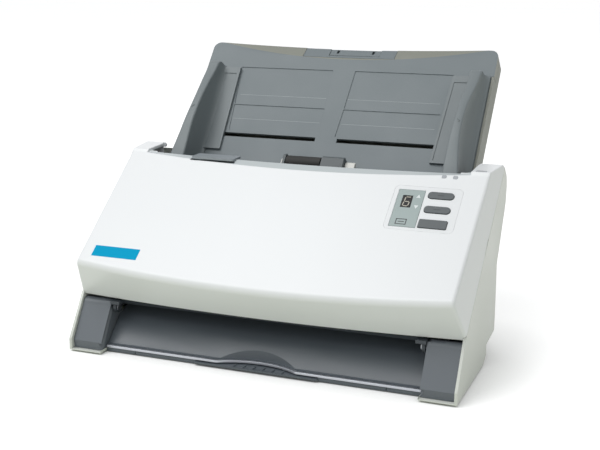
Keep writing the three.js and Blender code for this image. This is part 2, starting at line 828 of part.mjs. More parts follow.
function trayLipStrip() {
  const top = footRise + stripRise;
  const half = trayHalfWidth - partGap;
  const full = slab(recessShape(stripFrontY + stripWidth, -overrun, half), top - stripThickness, top,
      cornerSteps);
  const front = slab(recessShape(stripFrontY, -overrun * 2, half + overrun), 0, top + overrun, cornerSteps);
  return cut(full, front);
}

function trayExtension() {
  const rear = drawerFrontY + drawerDepth;
  const top = drawerRise + drawerThickness;
  const sheet = box(-drawerHalfWidth, drawerHalfWidth, drawerFrontY, rear, drawerRise, top);
  const grip = slab(roundedRectangle(-gripHalfWidth, gripHalfWidth, gripFrontY, drawerFrontY + gripCorner,
    gripCorner), drawerRise, top);
  const ribs = Array.from({ length: gripRibCount }, (_, i) => {
    const x = gripCentreX + (i - (gripRibCount - 1) / 2) * gripRibPitch;
    return box(x - gripRibWidth / 2, x + gripRibWidth / 2, gripFrontY + gripRibWidth,
        drawerFrontY - gripCorner,
      drawerRise, top + gripRibHeight);
  });
  return join(sheet, grip, ...ribs);
}

function foot() {
  const bottomBevel = footThickness / 4;
  const profile = [[0, 0], [footRadius - bottomBevel, 0], [footRadius, bottomBevel], [footRadius,
      footRise], [0, footRise]];
  const points = profile.map(([radius, z]) => new THREE.Vector2(radius, z));
  return new THREE.LatheGeometry(points, rollerSides).rotateX(Math.PI / 2);
}

// Chute, drawn on the path plane with X across, Y up the slope and Z off the paper side

function chuteOutline(half, top, radius) {
  const shape = new THREE.Shape();
  shape.moveTo(-half, chuteBottomS);
  shape.lineTo(half, chuteBottomS);
  shape.lineTo(half, top - radius);
  shape.absarc(half - radius, top - radius, radius, 0, Math.PI / 2);
  shape.lineTo(radius - half, top);
  shape.absarc(radius - half, top - radius, radius, Math.PI / 2, Math.PI);
  return shape;
}

// The bevel of the top edge: a slope that starts on a bowed line
const crescentSlope = crescentDepth / (chuteTopS - crescentMidS);

function crescentCutter() {
  const edgeAt = (x) => crescentMidS + (crescentEndS - crescentMidS) * (x / crescentEndX) ** 2;
  const past = chuteTopS + overrun;
  const xs = stationsAcross(-chuteHalfWidth - overrun, chuteHalfWidth + overrun, lidStations);
  return loft(xs, (x) => {
    const edge = Math.min(edgeAt(x), past - turnedGap);
    return [[edge, 0], [edge, overrun], [past, overrun], [past, (edge - past) * crescentSlope]];
  });
}

function panelRecess(side, lowS, highS, lowX, highX, stripLow, stripHigh) {
  const points = [[side * stripLow, lowS], [side * lowX, lowS], [side * highX, highS], [side * stripHigh,
      highS]];
  const ordered = signedArea(points) < 0 ? points.reverse() : points;
  return slab(ordered, -panelSink, overrun);
}

function paperChute() {
  const plate = slab(chuteOutline(chuteHalfWidth, chuteTopS, chuteCornerRadius), -chuteFrontDepth, 0,
      cornerSteps);
  const rimInnerX = chuteHalfWidth - chuteRimWidth;
  const inner = rimInnerX - turnedGap - chuteWall;
  const rimSeats = [-1, 1].map((side) => {
    const [near, far] = [side * (rimInnerX - turnedGap), side * (chuteHalfWidth + overrun)].sort((a,
        b) => a - b);
    return box(near, far, chuteBottomS - overrun, chuteRimTopS + turnedGap, -chuteFrontDepth - overrun,
        overrun);
  });
  const pocket = slab(roundedRectangle(-inner, inner, chuteBottomS + chuteWall, crescentMidS - chuteWall,
    chuteCornerRadius - chuteWall), -chuteFrontDepth - overrun, -chuteWall);
  const passage = box(-extensionHalfWidth - turnedGap, extensionHalfWidth + turnedGap,
      crescentMidS - chuteWall * 2,
    chuteTopS + overrun, -chuteFrontDepth - overrun, -chuteWall);
  const headNotch = box(-extensionHalfWidth - turnedGap, extensionHalfWidth + turnedGap,
    extensionHeadS - turnedGap, chuteTopS + overrun, -chuteFrontDepth - overrun, overrun);
  const pickWindow = box(-pickWindowHalf, pickWindowHalf, chuteBottomS - overrun, pickWindowTopS,
    -chuteFrontDepth - overrun, overrun);
  const slots = [-1, 1].map((side) => {
    const [near, far] = [side * slotStart, side * slotReach].sort((a, b) => a - b);
    return box(near, far, slotCentreS - slotWidth / 2, slotCentreS + slotWidth / 2, -chuteFrontDepth,
        overrun);
  });
  const recesses = [-1, 1].flatMap((side) => {
    const middle = (centreStripLow + centreStripHigh) / 2 + panelLine;
    const low = panelRecess(side, slotCentreS + slotWidth, panelMidS - panelLine, panelLowX, panelMidX,
      centreStripLow + panelLine, middle);
    const high = panelRecess(side, panelMidS, panelTopS, panelMidX, panelTopX, middle,
        centreStripHigh + panelLine);
    return [low, high];
  });
  return cut(plate, pocket, passage, headNotch, pickWindow, ...slots, ...recesses, ...rimSeats,
      crescentCutter());
}

// The rear half, with a thin rim on each side that comes forward to the face of the front half
function chuteRearCover() {
  const seatH = -chuteFrontDepth - turnedGap;
  const blank = slab(chuteOutline(chuteHalfWidth, chuteTopS, chuteCornerRadius), -chuteDepth, seatH,
      cornerSteps);
  const rims = [-1, 1].map((side) => {
    const [near, far] = [side * (chuteHalfWidth - chuteRimWidth), side * chuteHalfWidth].sort((a,
        b) => a - b);
    return box(near, far, chuteBottomS, chuteRimTopS, seatH - chuteWall, 0);
  });
  const inner = chuteHalfWidth - chuteWall - chuteCornerRadius / 2;
  const hollow = prism([
    [chuteBottomS + chuteWall, overrun], [chuteTopS - chuteWall, overrun],
    [chuteTopS - chuteWall, -chuteDepth + chuteWall], [chuteBottomS + chuteWall, -chuteDepth + chuteWall],
  ], -inner, inner);
  const belly = box(-pickWindowHalf, pickWindowHalf, chuteBottomS - overrun, pickWindowTopS,
    -chuteDepth + chuteWall, overrun);
  return cut(join(blank, ...rims), hollow, belly);
}

function chuteExtension() {
  const top = -chuteWall - turnedGap;
  const sheet = box(-extensionHalfWidth, extensionHalfWidth, extensionLowS, chuteTopS - turnedGap,
    top - extensionThickness, top);
  const head = box(-extensionHalfWidth, extensionHalfWidth, extensionHeadS, chuteTopS - turnedGap,
    -chuteFrontDepth + turnedGap, 0);
  const seat = flapSeat(turnedGap);
  return cut(join(sheet, head), seat, crescentCutter());
}

const flapBaseS = chuteTopS - turnedGap - flapLength;

function crescentH(s) {
  return (crescentMidS - s) * crescentSlope;
}

function flapSeat(gap) {
  const low = flapBaseS - gap;
  const past = chuteTopS + overrun;
  const sink = flapThickness + gap * 2;
  return prism([
    [low, crescentH(low) - sink], [past, crescentH(past) - sink], [past, overrun], [low, overrun],
  ], flapCentreX - flapHalfWidth - gap, flapCentreX + flapHalfWidth + gap);
}

// The flap lies in the bevel of the extension's head and turns up about its lower edge
function stopFlap() {
  const hinge = flapBaseS + flapThickness / 2 + turnedGap;
  const end = chuteTopS - turnedGap * 2;
  const [high, low] = [turnedGap, turnedGap + flapThickness].map((sink) => (s) => crescentH(s) - sink);
  const leaf = prism([[hinge, low(hinge)], [end, low(end)], [end, high(end)], [hinge, high(hinge)]],
    flapCentreX - flapHalfWidth, flapCentreX + flapHalfWidth);
  const knuckle = rodX(flapThickness / 2, flapCentreX - flapHalfWidth, flapCentreX + flapHalfWidth,
    hinge, crescentH(hinge) - turnedGap - flapThickness / 2);
  const slots = [-1, 1].map((side) => {
    const x = flapCentreX + side * flapSlotPitch / 2;
    return box(x - flapSlotWidth / 2, x + flapSlotWidth / 2, hinge + flapThickness,
      hinge + flapThickness + flapSlotLength, -chuteDepth, overrun);
  });
  return cut(join(leaf, knuckle), ...slots);
}

// Guides: a base plate, a hollow crescent fin and a lug that reaches through the slot

// Points on a curve from one corner of the fin to another that sags towards a third
function sagPoints(from, towards, to) {
  return Array.from({ length: finSteps + 1 }, (_, i) => {
    const t = i / finSteps;
    return [0, 1].map((k) => (1 - t) ** 2 * from[k] + 2 * t * (1 - t) * towards[k] + t ** 2 * to[k]);
  });
}

function finRing([, height, crestInner, crestOuter, footInner]) {
  const [crestLeft, crestRight, footLeft, footRight] = [crestInner, crestOuter, footInner, finFootInset]
    .map((inset) => inset - chuteHalfWidth);
  const low = guidePlateRise;
  return [
    [footLeft, turnedGap], ...sagPoints([footLeft, low / 2], [crestLeft, low], [crestLeft, height]),
    ...sagPoints([crestRight, height], [crestRight, low], [footRight, low / 2]), [footRight, turnedGap],
  ];
}

function finPocketRing([, height, crestInner, crestOuter]) {
  const left = crestInner - guidePocketWall - chuteHalfWidth;
  const right = crestOuter + guidePocketWall - chuteHalfWidth;
  const top = height - guidePocketWall;
  return [[left, -overrun], [right, -overrun], [right, top], [left, top]];
}

// A fin that is hollow from below, built along the slope and turned onto it
function guideFin() {
  const places = finRows.map(([s]) => s);
  const fin = loft(places, (s) => finRing(finRows[places.indexOf(s)]));
  const inner = places.slice(0, -2);
  const pocket = loft(inner.map((s, i) => (i === 0 ? s + guidePocketWall : s)),
    (s) => finPocketRing(finRows[Math.max(0, places.indexOf(s))]));
  return cut(fin, pocket).rotateZ(Math.PI / 2);
}

function guidePlateOutline(inset) {
  const [low, top] = [guidePlateLowInset, guidePlateTopInset].map((edge) => chuteHalfWidth - edge + inset);
  const far = chuteHalfWidth - finRows[0][2];
  return shapeOf([
    [low, guidePlateLowS + inset], [far, guidePlateLowS + inset], [far, guidePlateTopS - inset * 3],
    [top, guidePlateTopS - inset * 3],
  ]);
}

function paperGuide(side) {
  const plate = slab(guidePlateOutline(0), turnedGap, guidePlateRise);
  const dish = slab(guidePlateOutline(guidePocketWall), guidePlateRise - guidePocketWall / 4,
      guidePlateRise + overrun);
  const lug = box(guideLugInnerX, guideLugInnerX + guideLugLength, slotCentreS - slotWidth / 2 + guideLugGap,
    slotCentreS + slotWidth / 2 - guideLugGap, rackTopH - rackHeight / 2, guidePlateRise / 2);
  const guide = join(cut(plate, dish), guideFin(), lug);
  return side < 0 ? join(mirrorX(guide), leftRack()) : join(guide, rightRack());
}

// Gears have straight-sided teeth that are thinner than the gaps between them

function gearShape(teeth, module, boreRadius) {
  const toothShares = [[-0.30, -1.2], [-0.11, 0.85], [0.11, 0.85], [0.30, -1.2]];
  const pitchRadius = module * teeth / 2;
  const points = [];
  for (let i = 0; i < teeth; i += 1) {
    for (const [turnShare, heightShare] of toothShares) {
      const angle = (i + turnShare) * 2 * Math.PI / teeth;
      const radius = pitchRadius + heightShare * module;
      points.push(new THREE.Vector2(radius * Math.cos(angle), radius * Math.sin(angle)));
    }
  }
  const shape = new THREE.Shape(points);
  if (boreRadius > 0) {
    const bore = new THREE.Path();
    bore.absarc(0, 0, boreRadius, 0, Math.PI * 2, true);
    shape.holes.push(bore);
  }
  return shape;
}

// A gear on an axis along X, turned by a phase angle in the YZ plane
function gearX(teeth, x0, y, z, phase, boreRadius) {
  const gear = extrude(gearShape(teeth, gearModule, boreRadius), gearWidth, 6).rotateZ(phase);
  const turn = new THREE.Matrix4().set(0, 0, 1, x0, 1, 0, 0, y, 0, 1, 0, z, 0, 0, 0, 1);
  return gear.applyMatrix4(turn);
}

// The phase that puts a gap of the driven gear at the tooth of its driver
function meshedPhase(driver, driven) {
  const line = Math.atan2(driven.z - driver.z, driven.y - driver.y);
  const driverPitch = 2 * Math.PI / driver.teeth;
  const drivenPitch = 2 * Math.PI / driven.teeth;
  const driverShare = (line - driver.phase) / driverPitch;
  const drivenShare = 0.5 - driverShare;
  return line + Math.PI - drivenShare * drivenPitch;
}

function pitchDistance(a, b) {
  return gearModule * (a.teeth + b.teeth) / 2;
}

const pickCentre = pathPoint(pickS, pickRise - pickRadius);
const feedCentre = pathPoint(feedS, rollerRise - feedRadius);
const exitCentre = pathPoint(exitS, rollerRise - exitRadius);
const gears = gearTrain();

function gearTrain() {
  const feed = { teeth: rollerGearTeeth, y: feedCentre[0], z: feedCentre[1], phase: 0 };
  const exit = { teeth: rollerGearTeeth, y: exitCentre[0], z: exitCentre[1], phase: 0 };
  const idler = { teeth: idlerTeeth };
  const span = Math.hypot(feed.y - exit.y, feed.z - exit.z);
  const line = Math.atan2(feed.z - exit.z, feed.y - exit.y);
  const reach = pitchDistance(idler, feed);
  const bulge = Math.sqrt(reach ** 2 - (span / 2) ** 2);
  idler.y = (feed.y + exit.y) / 2 + bulge * Math.sin(line);
  idler.z = (feed.z + exit.z) / 2 - bulge * Math.cos(line);
  idler.phase = meshedPhase(feed, idler);
  exit.phase = meshedPhase(idler, exit);
  const pinion = { teeth: pinionTeeth };
  const arm = pitchDistance(idler, pinion);
  pinion.y = idler.y + arm * Math.cos(motorAngle);
  pinion.z = idler.z + arm * Math.sin(motorAngle);
  pinion.phase = meshedPhase(idler, pinion);
  return { feed, exit, idler, pinion };
}

const plateOuterX = plateInnerX + plateThickness;
const gearX0 = -plateOuterX - gearGap - hubLength / 2 - gearWidth;

function drivenGear(gear, bore) {
  return gearX(gear.teeth, gearX0, gear.y, gear.z, gear.phase, bore);
}

function motorPinion() {
  const { pinion } = gears;
  const shaft = rodX(motorShaftRadius, gearX0 + gearWidth / 2, -plateInnerX + plateThickness, pinion.y,
      pinion.z);
  return join(drivenGear(pinion, 0), shaft);
}

function driveMotor() {
  const { pinion } = gears;
  const rear = -plateInnerX + partGap;
  const profile = [
    [motorShaftRadius + hingeBoreGap, rear], [motorRadius - caseWall / 2, rear], [motorRadius,
        rear + caseWall / 2],
    [motorRadius, rear + motorLength], [motorRadius / 3, rear + motorLength], [motorRadius / 3,
        rear + motorLength + caseWall],
    [0, rear + motorLength + caseWall], [0, rear + caseWall * 2], [motorShaftRadius + hingeBoreGap,
        rear + caseWall * 2],
  ];
  return turnedX([...profile, profile[0]], pinion.y, pinion.z);
}

// Rollers: one turned body of axle, hub and tyres each

function axleProfile(radius, tyres, hub, left, right) {
  const points = [[0, left], [axleRadius, left]];
  for (const [start, end] of tyres) {
    points.push([axleRadius, start - hub], [hubRadius, start - hub], [hubRadius, start]);
    points.push([radius, start], [radius, end], [hubRadius, end], [hubRadius, end + hub], [axleRadius,
        end + hub]);
  }
  points.push([axleRadius, right], [0, right]);
  return points;
}

function drivenRoller(radius, centre) {
  const tyres = [[-tyreInnerX - tyreLength, -tyreInnerX], [tyreInnerX, tyreInnerX + tyreLength]];
  return turnedX(axleProfile(radius, tyres, hubLength, gearX0 - gearGap, axleReach), ...centre);
}

function feedRoller() {
  const roller = drivenRoller(feedRadius, feedCentre);
  const pulley = rodX(pulleyRadius, pulleyLeft(), pulleyLeft() + beltWidth + partGap * 2, ...feedCentre,
      rollerSides);
  return join(roller, pulley);
}

function pulleyLeft() {
  return pickHalfLength - beltWidth - partGap * 2 - hubLength;
}

function pickRoller() {
  const right = pulleyLeft() - hubLength;
  const tyre = turnedX(axleProfile(pickRadius, [[-pickHalfLength, right]], hubLength / 2,
    -pickAxleReach, pickAxleReach), ...pickCentre);
  const pulley = rodX(pulleyRadius, pulleyLeft(), pulleyLeft() + beltWidth + partGap * 2, ...pickCentre,
      rollerSides);
  return join(tyre, pulley);
}

function pickBelt() {
  const [y0, z0] = feedCentre;
  const [y1, z1] = pickCentre;
  const line = Math.atan2(z1 - z0, y1 - y0);
  const span = Math.hypot(y1 - y0, z1 - z0);
  const loop = (radius, Kind) => {
    const path = new Kind();
    path.absarc(0, 0, radius, Math.PI / 2, Math.PI * 1.5);
    path.absarc(span, 0, radius, -Math.PI / 2, Math.PI / 2);
    return path;
  };
  const inner = pulleyRadius + turnedGap;
  const shape = loop(inner + beltThickness, THREE.Shape);
  shape.holes.push(loop(inner, THREE.Path));
  const turn = new THREE.Matrix4().set(0, 0, 1, pulleyLeft() + partGap, 1, 0, 0, y0, 0, 1, 0, z0, 0, 0, 0, 1);
  return extrude(shape, beltWidth, 8).rotateZ(line).applyMatrix4(turn);
}

function framePlate(side) {
  const low = caseFloorTop + turnedGap;
  const [stepFront, lowRear, kneeRear, topRear] = [2, 4, 6, 7].map((i) => panelRearPoint(i,
      caseWall + turnedGap * 2));
  const outline = [
    [exitCentre[0] - hubRadius * 2, low], [stepFront[0], low], [stepFront[0],
        lowRear[1] + caseWall + turnedGap * 2],
    [lowRear[0], lowRear[1] + caseWall + turnedGap * 2], kneeRear, topRear, pathPoint(guideSlabTopS,
        -partGap * 4),
    pathPoint(trayJoinS + hubRadius, -partGap * 4), [exitCentre[0] - hubRadius * 2, exitCentre[1] - partGap],
  ];
  const blank = prism(outline, plateInnerX, plateOuterX);
  const holes = [feedCentre, exitCentre].map(([y, z]) => rodX(axleRadius + turnedGap, plateInnerX - overrun,
    plateOuterX + overrun, y, z));
  const striker = rodX(strikerRadius, plateInnerX - strikerLength, plateOuterX, ...strikerCentre());
  const plate = join(cut(blank, ...holes), striker);
  if (side > 0) return plate;
  const { pinion, idler } = gears;
  const shaftHole = rodX(motorShaftRadius + turnedGap * 2, plateInnerX - overrun, plateOuterX + overrun,
      pinion.y, pinion.z);
  const idlerPin = rodX(idlerPinRadius, plateInnerX, -gearX0 + gearGap, idler.y, idler.z);
  return mirrorX(join(cut(plate, shaftHole), idlerPin));
}

// Lower guide and image sensors

function windowPair(radius, s, low, high) {
  const half = Math.sqrt(Math.max(radius ** 2 - (radius - rollerRise - guideSlabWall) ** 2,
      0)) + windowMargin;
  return [-1, 1].map((side) => {
    const reach = hubLength + partGap;
    const [x0, x1] = [side * (tyreInnerX - reach), side * (tyreInnerX + tyreLength + reach)].sort((a,
        b) => a - b);
    return box(x0, x1, s - half, s + half, low, high);
  });
}

function sensorWindow(low, high) {
  const half = glassWidth / 2 + turnedGap;
  return box(-glassHalfLength - turnedGap, glassHalfLength + turnedGap, sensorS - half, sensorS + half,
      low, high);
}

function lowerPaperGuide() {
  const low = trayJoinS + turnedGap * 2;
  const slabShape = shapeOf([
    [-guideSlabWide, low], [guideSlabWide, low], [guideSlabWide, guideSlabStepS], [guideSlabHalf,
        guideSlabStepS],
    [guideSlabHalf, guideSlabTopS], [-guideSlabHalf, guideSlabTopS], [-guideSlabHalf, guideSlabStepS],
    [-guideSlabWide, guideSlabStepS],
  ]);
  const plate = slab(slabShape, -guideSlabWall, 0);
  const windows = [
    ...windowPair(feedRadius, feedS, -overrun, overrun), ...windowPair(exitRadius, exitS, -overrun, overrun),
    sensorWindow(-overrun, overrun),
  ];
  return join(cut(plate, ...windows), pickArm(), mirrorX(pickArm()));
}

// An arm beside the pick roller that carries one end of its axle
function pickArm() {
  const middle = pickRise - pickRadius;
  const disc = rodX(pickArmRadius, pickArmInnerX, pickAxleReach, pickS, middle);
  const arm = prism([
    [guideSlabTopS - pickArmRadius * 2, -guideSlabWall / 2], [guideSlabTopS, -guideSlabWall / 2],
    [pickS, middle + pickArmRadius], [pickS - pickArmRadius, middle - pickArmRadius / 2],
  ], pickArmInnerX, pickAxleReach);
  const bore = rodX(axleRadius + turnedGap, pickArmInnerX - overrun, pickAxleReach + overrun, pickS, middle);
  return cut(join(disc, arm), bore);
}

function sensorGlass(h) {
  return box(-glassHalfLength, glassHalfLength, sensorS - glassWidth / 2, sensorS + glassWidth / 2, h,
      h + glassThickness);
}

function sensorHousing(low, high, openSide) {
  const outer = box(-sensorHalfLength, sensorHalfLength, sensorS - sensorWidth / 2,
      sensorS + sensorWidth / 2, low, high);
  const inner = glassWidth / 2 - chuteWall;
  const [start, end] = openSide > 0 ? [low + chuteWall * 2, high + overrun] : [low - overrun,
      high - chuteWall * 2];
  const channel = box(-glassHalfLength + chuteWall, glassHalfLength - chuteWall, sensorS - inner,
      sensorS + inner, start, end);
  return cut(outer, channel);
}

// Electronics

function mainBoard() {
  const rear = boardRearY;
  const front = Math.max(boardFrontY, drawerFrontY + drawerDepth + partGap * 2);
  const plate = box(-boardHalfWidth, boardHalfWidth, front, rear, boardBottomZ + turnedGap, boardTopZ);
  const chipShares = [[-0.55, 0.3, 0.22], [-0.05, 0.45, 0.16], [0.4, 0.25, 0.12]];
  const chips = chipShares.map(([xShare, yShare, sizeShare]) => {
    const x = xShare * boardHalfWidth;
    const y = front + yShare * (rear - front);
    const half = sizeShare * boardHalfWidth / 2;
    return box(x - half, x + half, y - half, y + half, boardTopZ - boardThickness / 2,
        boardTopZ + boardThickness);
  });
  return join(plate, ...chips);
}

function socketBody(x, width) {
  const rear = tubRearY - socketInset;
  return box(x - width / 2, x + width / 2, rear - socketDepth, rear, boardTopZ + turnedGap,
      boardTopZ + turnedGap + socketHeight);
}

function powerInlet() {
  const middle = boardTopZ + turnedGap + socketHeight / 2;
  const bore = new THREE.CylinderGeometry(powerWidth / 3, powerWidth / 3, socketDepth, shaftSides)
    .translate(powerX, tubRearY - socketInset - chuteWall, middle);
  const pin = new THREE.CylinderGeometry(powerWidth / 9, powerWidth / 9, socketDepth, 8)
    .translate(powerX, tubRearY - socketInset - socketDepth / 2 - chuteWall / 2, middle);
  return join(cut(socketBody(powerX, powerWidth), bore), pin);
}

function usbSocket() {
  const wall = chuteWall / 2;
  const low = boardTopZ + turnedGap + wall;
  const high = boardTopZ + turnedGap + socketHeight - wall;
  const rear = tubRearY - socketInset;
  const mouth = box(usbX - usbWidth / 2 + wall, usbX + usbWidth / 2 - wall, rear - socketDepth + wall * 2,
      rear + overrun, low, high);
  const tongue = box(usbX - usbWidth / 5, usbX + usbWidth / 5, rear - socketDepth + wall, rear - wall,
    (low + high) / 2 - wall, (low + high) / 2 + wall);
  return join(cut(socketBody(usbX, usbWidth), mouth), tongue);
}

function switchHousing() {
  const wall = chuteWall / 2;
  const low = boardTopZ + turnedGap + wall;
  const rear = tubRearY - socketInset;
  const mouth = box(switchX - switchWidth / 2 + wall, switchX + switchWidth / 2 - wall,
      rear - socketDepth / 2, rear + overrun,
    low, low + socketHeight - wall * 2);
  return cut(socketBody(switchX, switchWidth), mouth);
}

const rockerY = tubRearY - socketInset - socketDepth / 5;
const rockerZ = boardTopZ + turnedGap + socketHeight / 2;

// The rocker turns about an axis along Z, with its face bent like a shallow V
function powerSwitch() {
  const wall = chuteWall / 2 + turnedGap * 2;
  const half = switchWidth / 2 - wall;
  const height = socketHeight / 2 - wall;
  const rear = tubRearY - socketInset;
  const lift = half * Math.tan(switchTilt * 2);
  const outline = [
    [switchX - half, rockerY], [switchX, rockerY - chuteWall], [switchX + half, rockerY],
    [switchX + half, rear + rockerReach], [switchX, rear + rockerReach - lift], [switchX - half, rear],
  ];
  return slab(outline, rockerZ - height, rockerZ + height);
}

// Cover

function bowShare(x) {
  return Math.max(0, 1 - (x / lidBowHalfSpan) ** 2);
}

function lidSection(x) {
  const bow = bowShare(x);
  const low = [lidLowY - lidLowBowY * bow, lidLowZ - lidLowBowZ * bow];
  const crease = [lidFrontY - lidBowY * bow, lidFrontZ - lidBowZ * bow];
  const upper = [lidRearY - lidBowY * bow, lidRearZ - lidBowZ * bow];
  const rear = [lidRearY + lidEdgeDepth - lidRimBowY * bow, lidRearZ - lidEdgeDrop - lidRimBowZ * bow];
  return { low, crease, upper, rear };
}

function lidOuterRing(x) {
  const { low, crease, upper, rear } = lidSection(x);
  return [
    low, ...filletPoints(low, crease, upper, creaseRadius, roundSteps), ...filletPoints(crease, upper,
        rear, lidWall, 2),
    rear, [rear[0] + lidEdgeDrop, rear[1] - lidRearDrop],
  ];
}

function lidInnerRing(x) {
  const { low, crease, upper, rear } = lidSection(x);
  const drop = [rear[0], rear[1] - lidRearDrop];
  const [start, innerCrease, innerUpper] = offsetOutline([low, crease, upper, rear, drop], -lidWall);
  const down = [low[0] - crease[0], low[1] - crease[1]];
  const reach = overrun / Math.hypot(...down) * 2;
  const foot = [start[0] + down[0] * reach, start[1] + down[1] * reach];
  const past = [innerUpper[0] + (rear[0] - upper[0]) * 3, innerUpper[1] + (rear[1] - upper[1]) * 3];
  return [foot, ...filletPoints(foot, innerCrease, innerUpper, creaseRadius - lidWall, roundSteps),
      innerUpper, past,
    [past[0], past[1] - lidRearDrop * 4], [foot[0] + lidRearDrop, foot[1] - lidRearDrop]];
}

// A wedge along the seam whose two sides lean in, so the cover narrows upward from the seam
function lidWedge(inset, below) {
  const lean = Math.tan(lidSideDraft);
  const top = lidRearZ;
  const half = bodyHalfWidth - inset;
  const length = (seamRearY - seamFrontY) * 2;
  const shape = shapeOf([
    [-half, -below], [half, -below], [half, 0], [half - top * lean, top], [top * lean - half, top], [-half,
        0],
  ]);
  const [y, z] = seamPoint(-0.5, seamGap / 2);
  const across = new THREE.Vector3(1, 0, 0);
  const along = new THREE.Vector3(0, Math.cos(seamAngle), Math.sin(seamAngle));
  const up = new THREE.Vector3(0, -Math.sin(seamAngle), Math.cos(seamAngle));
  const frame = new THREE.Matrix4().makeBasis(across, up, along.clone().negate());
  const wedge = extrude(shape, length);
  wedge.applyMatrix4(frame);
  const start = new THREE.Vector3(0, y, z).addScaledVector(along, length);
  return wedge.translate(start.x, start.y, start.z);
}

// An ear beside the chute, and with an inset its hollow, which is open at the inner end
function earBlock(inset) {
  const low = seamPoint(0.55, seamGap / 2);
  const end = seamPoint(1, seamGap / 2);
  const outline = [
    [lidRearY - lidEdgeDepth + inset, lidRearZ - lidEdgeDepth - inset], [earFrontY + inset,
        earFrontZ - inset],
    [earRearY - inset, earTopZ - inset],
    [end[0] - inset * 2, end[1] - inset], [low[0], low[1] - inset * 4],
  ];
  const innerX = inset > 0 ? earInnerX - turnedGap : earInnerX;
  const block = prism(outline, innerX, bodyHalfWidth - inset);
  const slant = slab([[innerX - overrun, -overrun], [innerX, -overrun], [innerX + earSlant, 0],
      [innerX - overrun, 0]],
    lidFrontZ, earTopZ + overrun).translate(0, earRearY, 0);
  return cut(block, slant);
}

function leverNotch() {
  return box(leverLeftX - partGap * 2, leverRightX + partGap * 2, leverSlotY, lidRearY + lidRearDrop,
    lidRearZ - lidRearDrop, lidRearZ + overrun);
}

function coverShell() {
  const xs = stationsAcross(-bodyHalfWidth, bodyHalfWidth, lidStations);
  const ears = [earBlock(0), mirrorX(earBlock(0))];
  const blank = common(join(loft(xs, lidOuterRing), ...ears), lidWedge(0, 0));
  const front = prism([
    [lidLowY - lidLowBowY * 3, lidLowZ - lidLowBowZ * 3], [lidLowY + lidWall * 3, lidLowZ - lidLowBowZ * 3],
    [lidFrontY + lidWall * 4, lidFrontZ], [lidFrontY - lidBowY * 3, lidFrontZ],
  ], -lidBowHalfSpan, lidBowHalfSpan);
  const chin = common(loft(xs, lidOuterRing), front);
  const inside = common(loft(xs, lidInnerRing), lidWedge(lidWall, lidRearZ));
  const earHollow = common(earBlock(lidWall), lidWedge(lidWall, lidRearZ));
  const earHollows = [earHollow, mirrorX(earHollow)];
  const shell = cut(join(blank, chin), inside, ...earHollows);
  return cut(shell, bezelPocket(), panelOpening(), ...lampHoles(turnedGap), earSlot(), leverNotch());
}

function earSlot() {
  const x = earInnerX + earSlant * 2;
  return box(x - earSlotLength / 2, x + earSlotLength / 2, earFrontY + earSlotWidth * 3,
      earFrontY + earSlotWidth * 4,
    earTopZ - earSlotDepth, earTopZ + overrun);
}

function bezelPocket() {
  const gap = turnedGap;
  return onLid(slab(roundedRectangle(bezelLeftX - gap, bezelRightX + gap, bezelLowS - gap, bezelHighS + gap,
    bezelCorner + gap), -bezelThickness - gap, overrun));
}

function panelOpening() {
  const inset = caseWall;
  return onLid(box(bezelLeftX + inset, bezelRightX - inset, bezelLowS + inset, bezelHighS - inset,
      -lidWall * 2, overrun));
}

function lampHoles(gap) {
  return [0, 1].map((i) => {
    const x = lampLeftX + i * lampPitch;
    return onLid(slab(roundedRectangle(x - gap, x + lampLength + gap, lampS - lampWidth / 2 - gap,
      lampS + lampWidth / 2 + gap, lampWidth / 3), -lidWall * 2, overrun));
  });
}

function lamp(index) {
  const x = lampLeftX + index * lampPitch;
  return slab(roundedRectangle(x, x + lampLength, lampS - lampWidth / 2, lampS + lampWidth / 2,
    lampWidth / 3 - turnedGap), -lampDepth, turnedGap / 3);
}

function buttonOutline(x0, length, middle, width, gap, corner) {
  return roundedRectangle(x0 - gap, x0 + length + gap, middle - width / 2 - gap, middle + width / 2 + gap,
      corner + gap);
}

const buttons = {
  up: [buttonLeftX, buttonLength, upButtonS, buttonWidth, buttonWidth / 2 - turnedGap],
  down: [buttonLeftX, buttonLength, downButtonS, buttonWidth, buttonWidth / 2 - turnedGap],
  scan: [scanLeftX, scanLength, scanButtonS, scanWidth, buttonWidth / 8],
};

function panelBezel() {
  const plate = slab(roundedRectangle(bezelLeftX, bezelRightX, bezelLowS, bezelHighS, bezelCorner),
      -bezelThickness, 0);
  const holes = Object.values(buttons).map(([x, length, s, width, corner]) => (
    slab(buttonOutline(x, length, s, width, buttonGap, corner), -bezelThickness - overrun, overrun)));
  const labelSeat = box(labelLeftX - turnedGap, labelRightX + turnedGap, labelLowS - turnedGap,
      labelHighS + turnedGap,
    -labelSink - turnedGap, overrun);
  const windowHole = box(windowLeftX, windowRightX, windowLowS, windowHighS, -bezelThickness - overrun,
      overrun);
  return cut(plate, ...holes, labelSeat, windowHole);
}

function labelPlate() {
  const plate = box(labelLeftX, labelRightX, labelLowS, labelHighS, -labelSink, turnedGap / 3);
  const opening = box(windowLeftX, windowRightX, windowLowS, windowHighS, -overrun, overrun);
  return cut(plate, opening);
}

function displayWindow() {
  return box(windowLeftX + turnedGap, windowRightX - turnedGap, windowLowS + turnedGap,
      windowHighS - turnedGap,
    -panelBoardDrop + turnedGap, -turnedGap / 3);
}

function panelBoard() {
  return box(bezelLeftX + caseWall + partGap, bezelRightX - caseWall - partGap,
      bezelLowS + caseWall + partGap,
    bezelHighS - caseWall - partGap, -panelBoardDrop - panelBoardThickness, -panelBoardDrop);
}

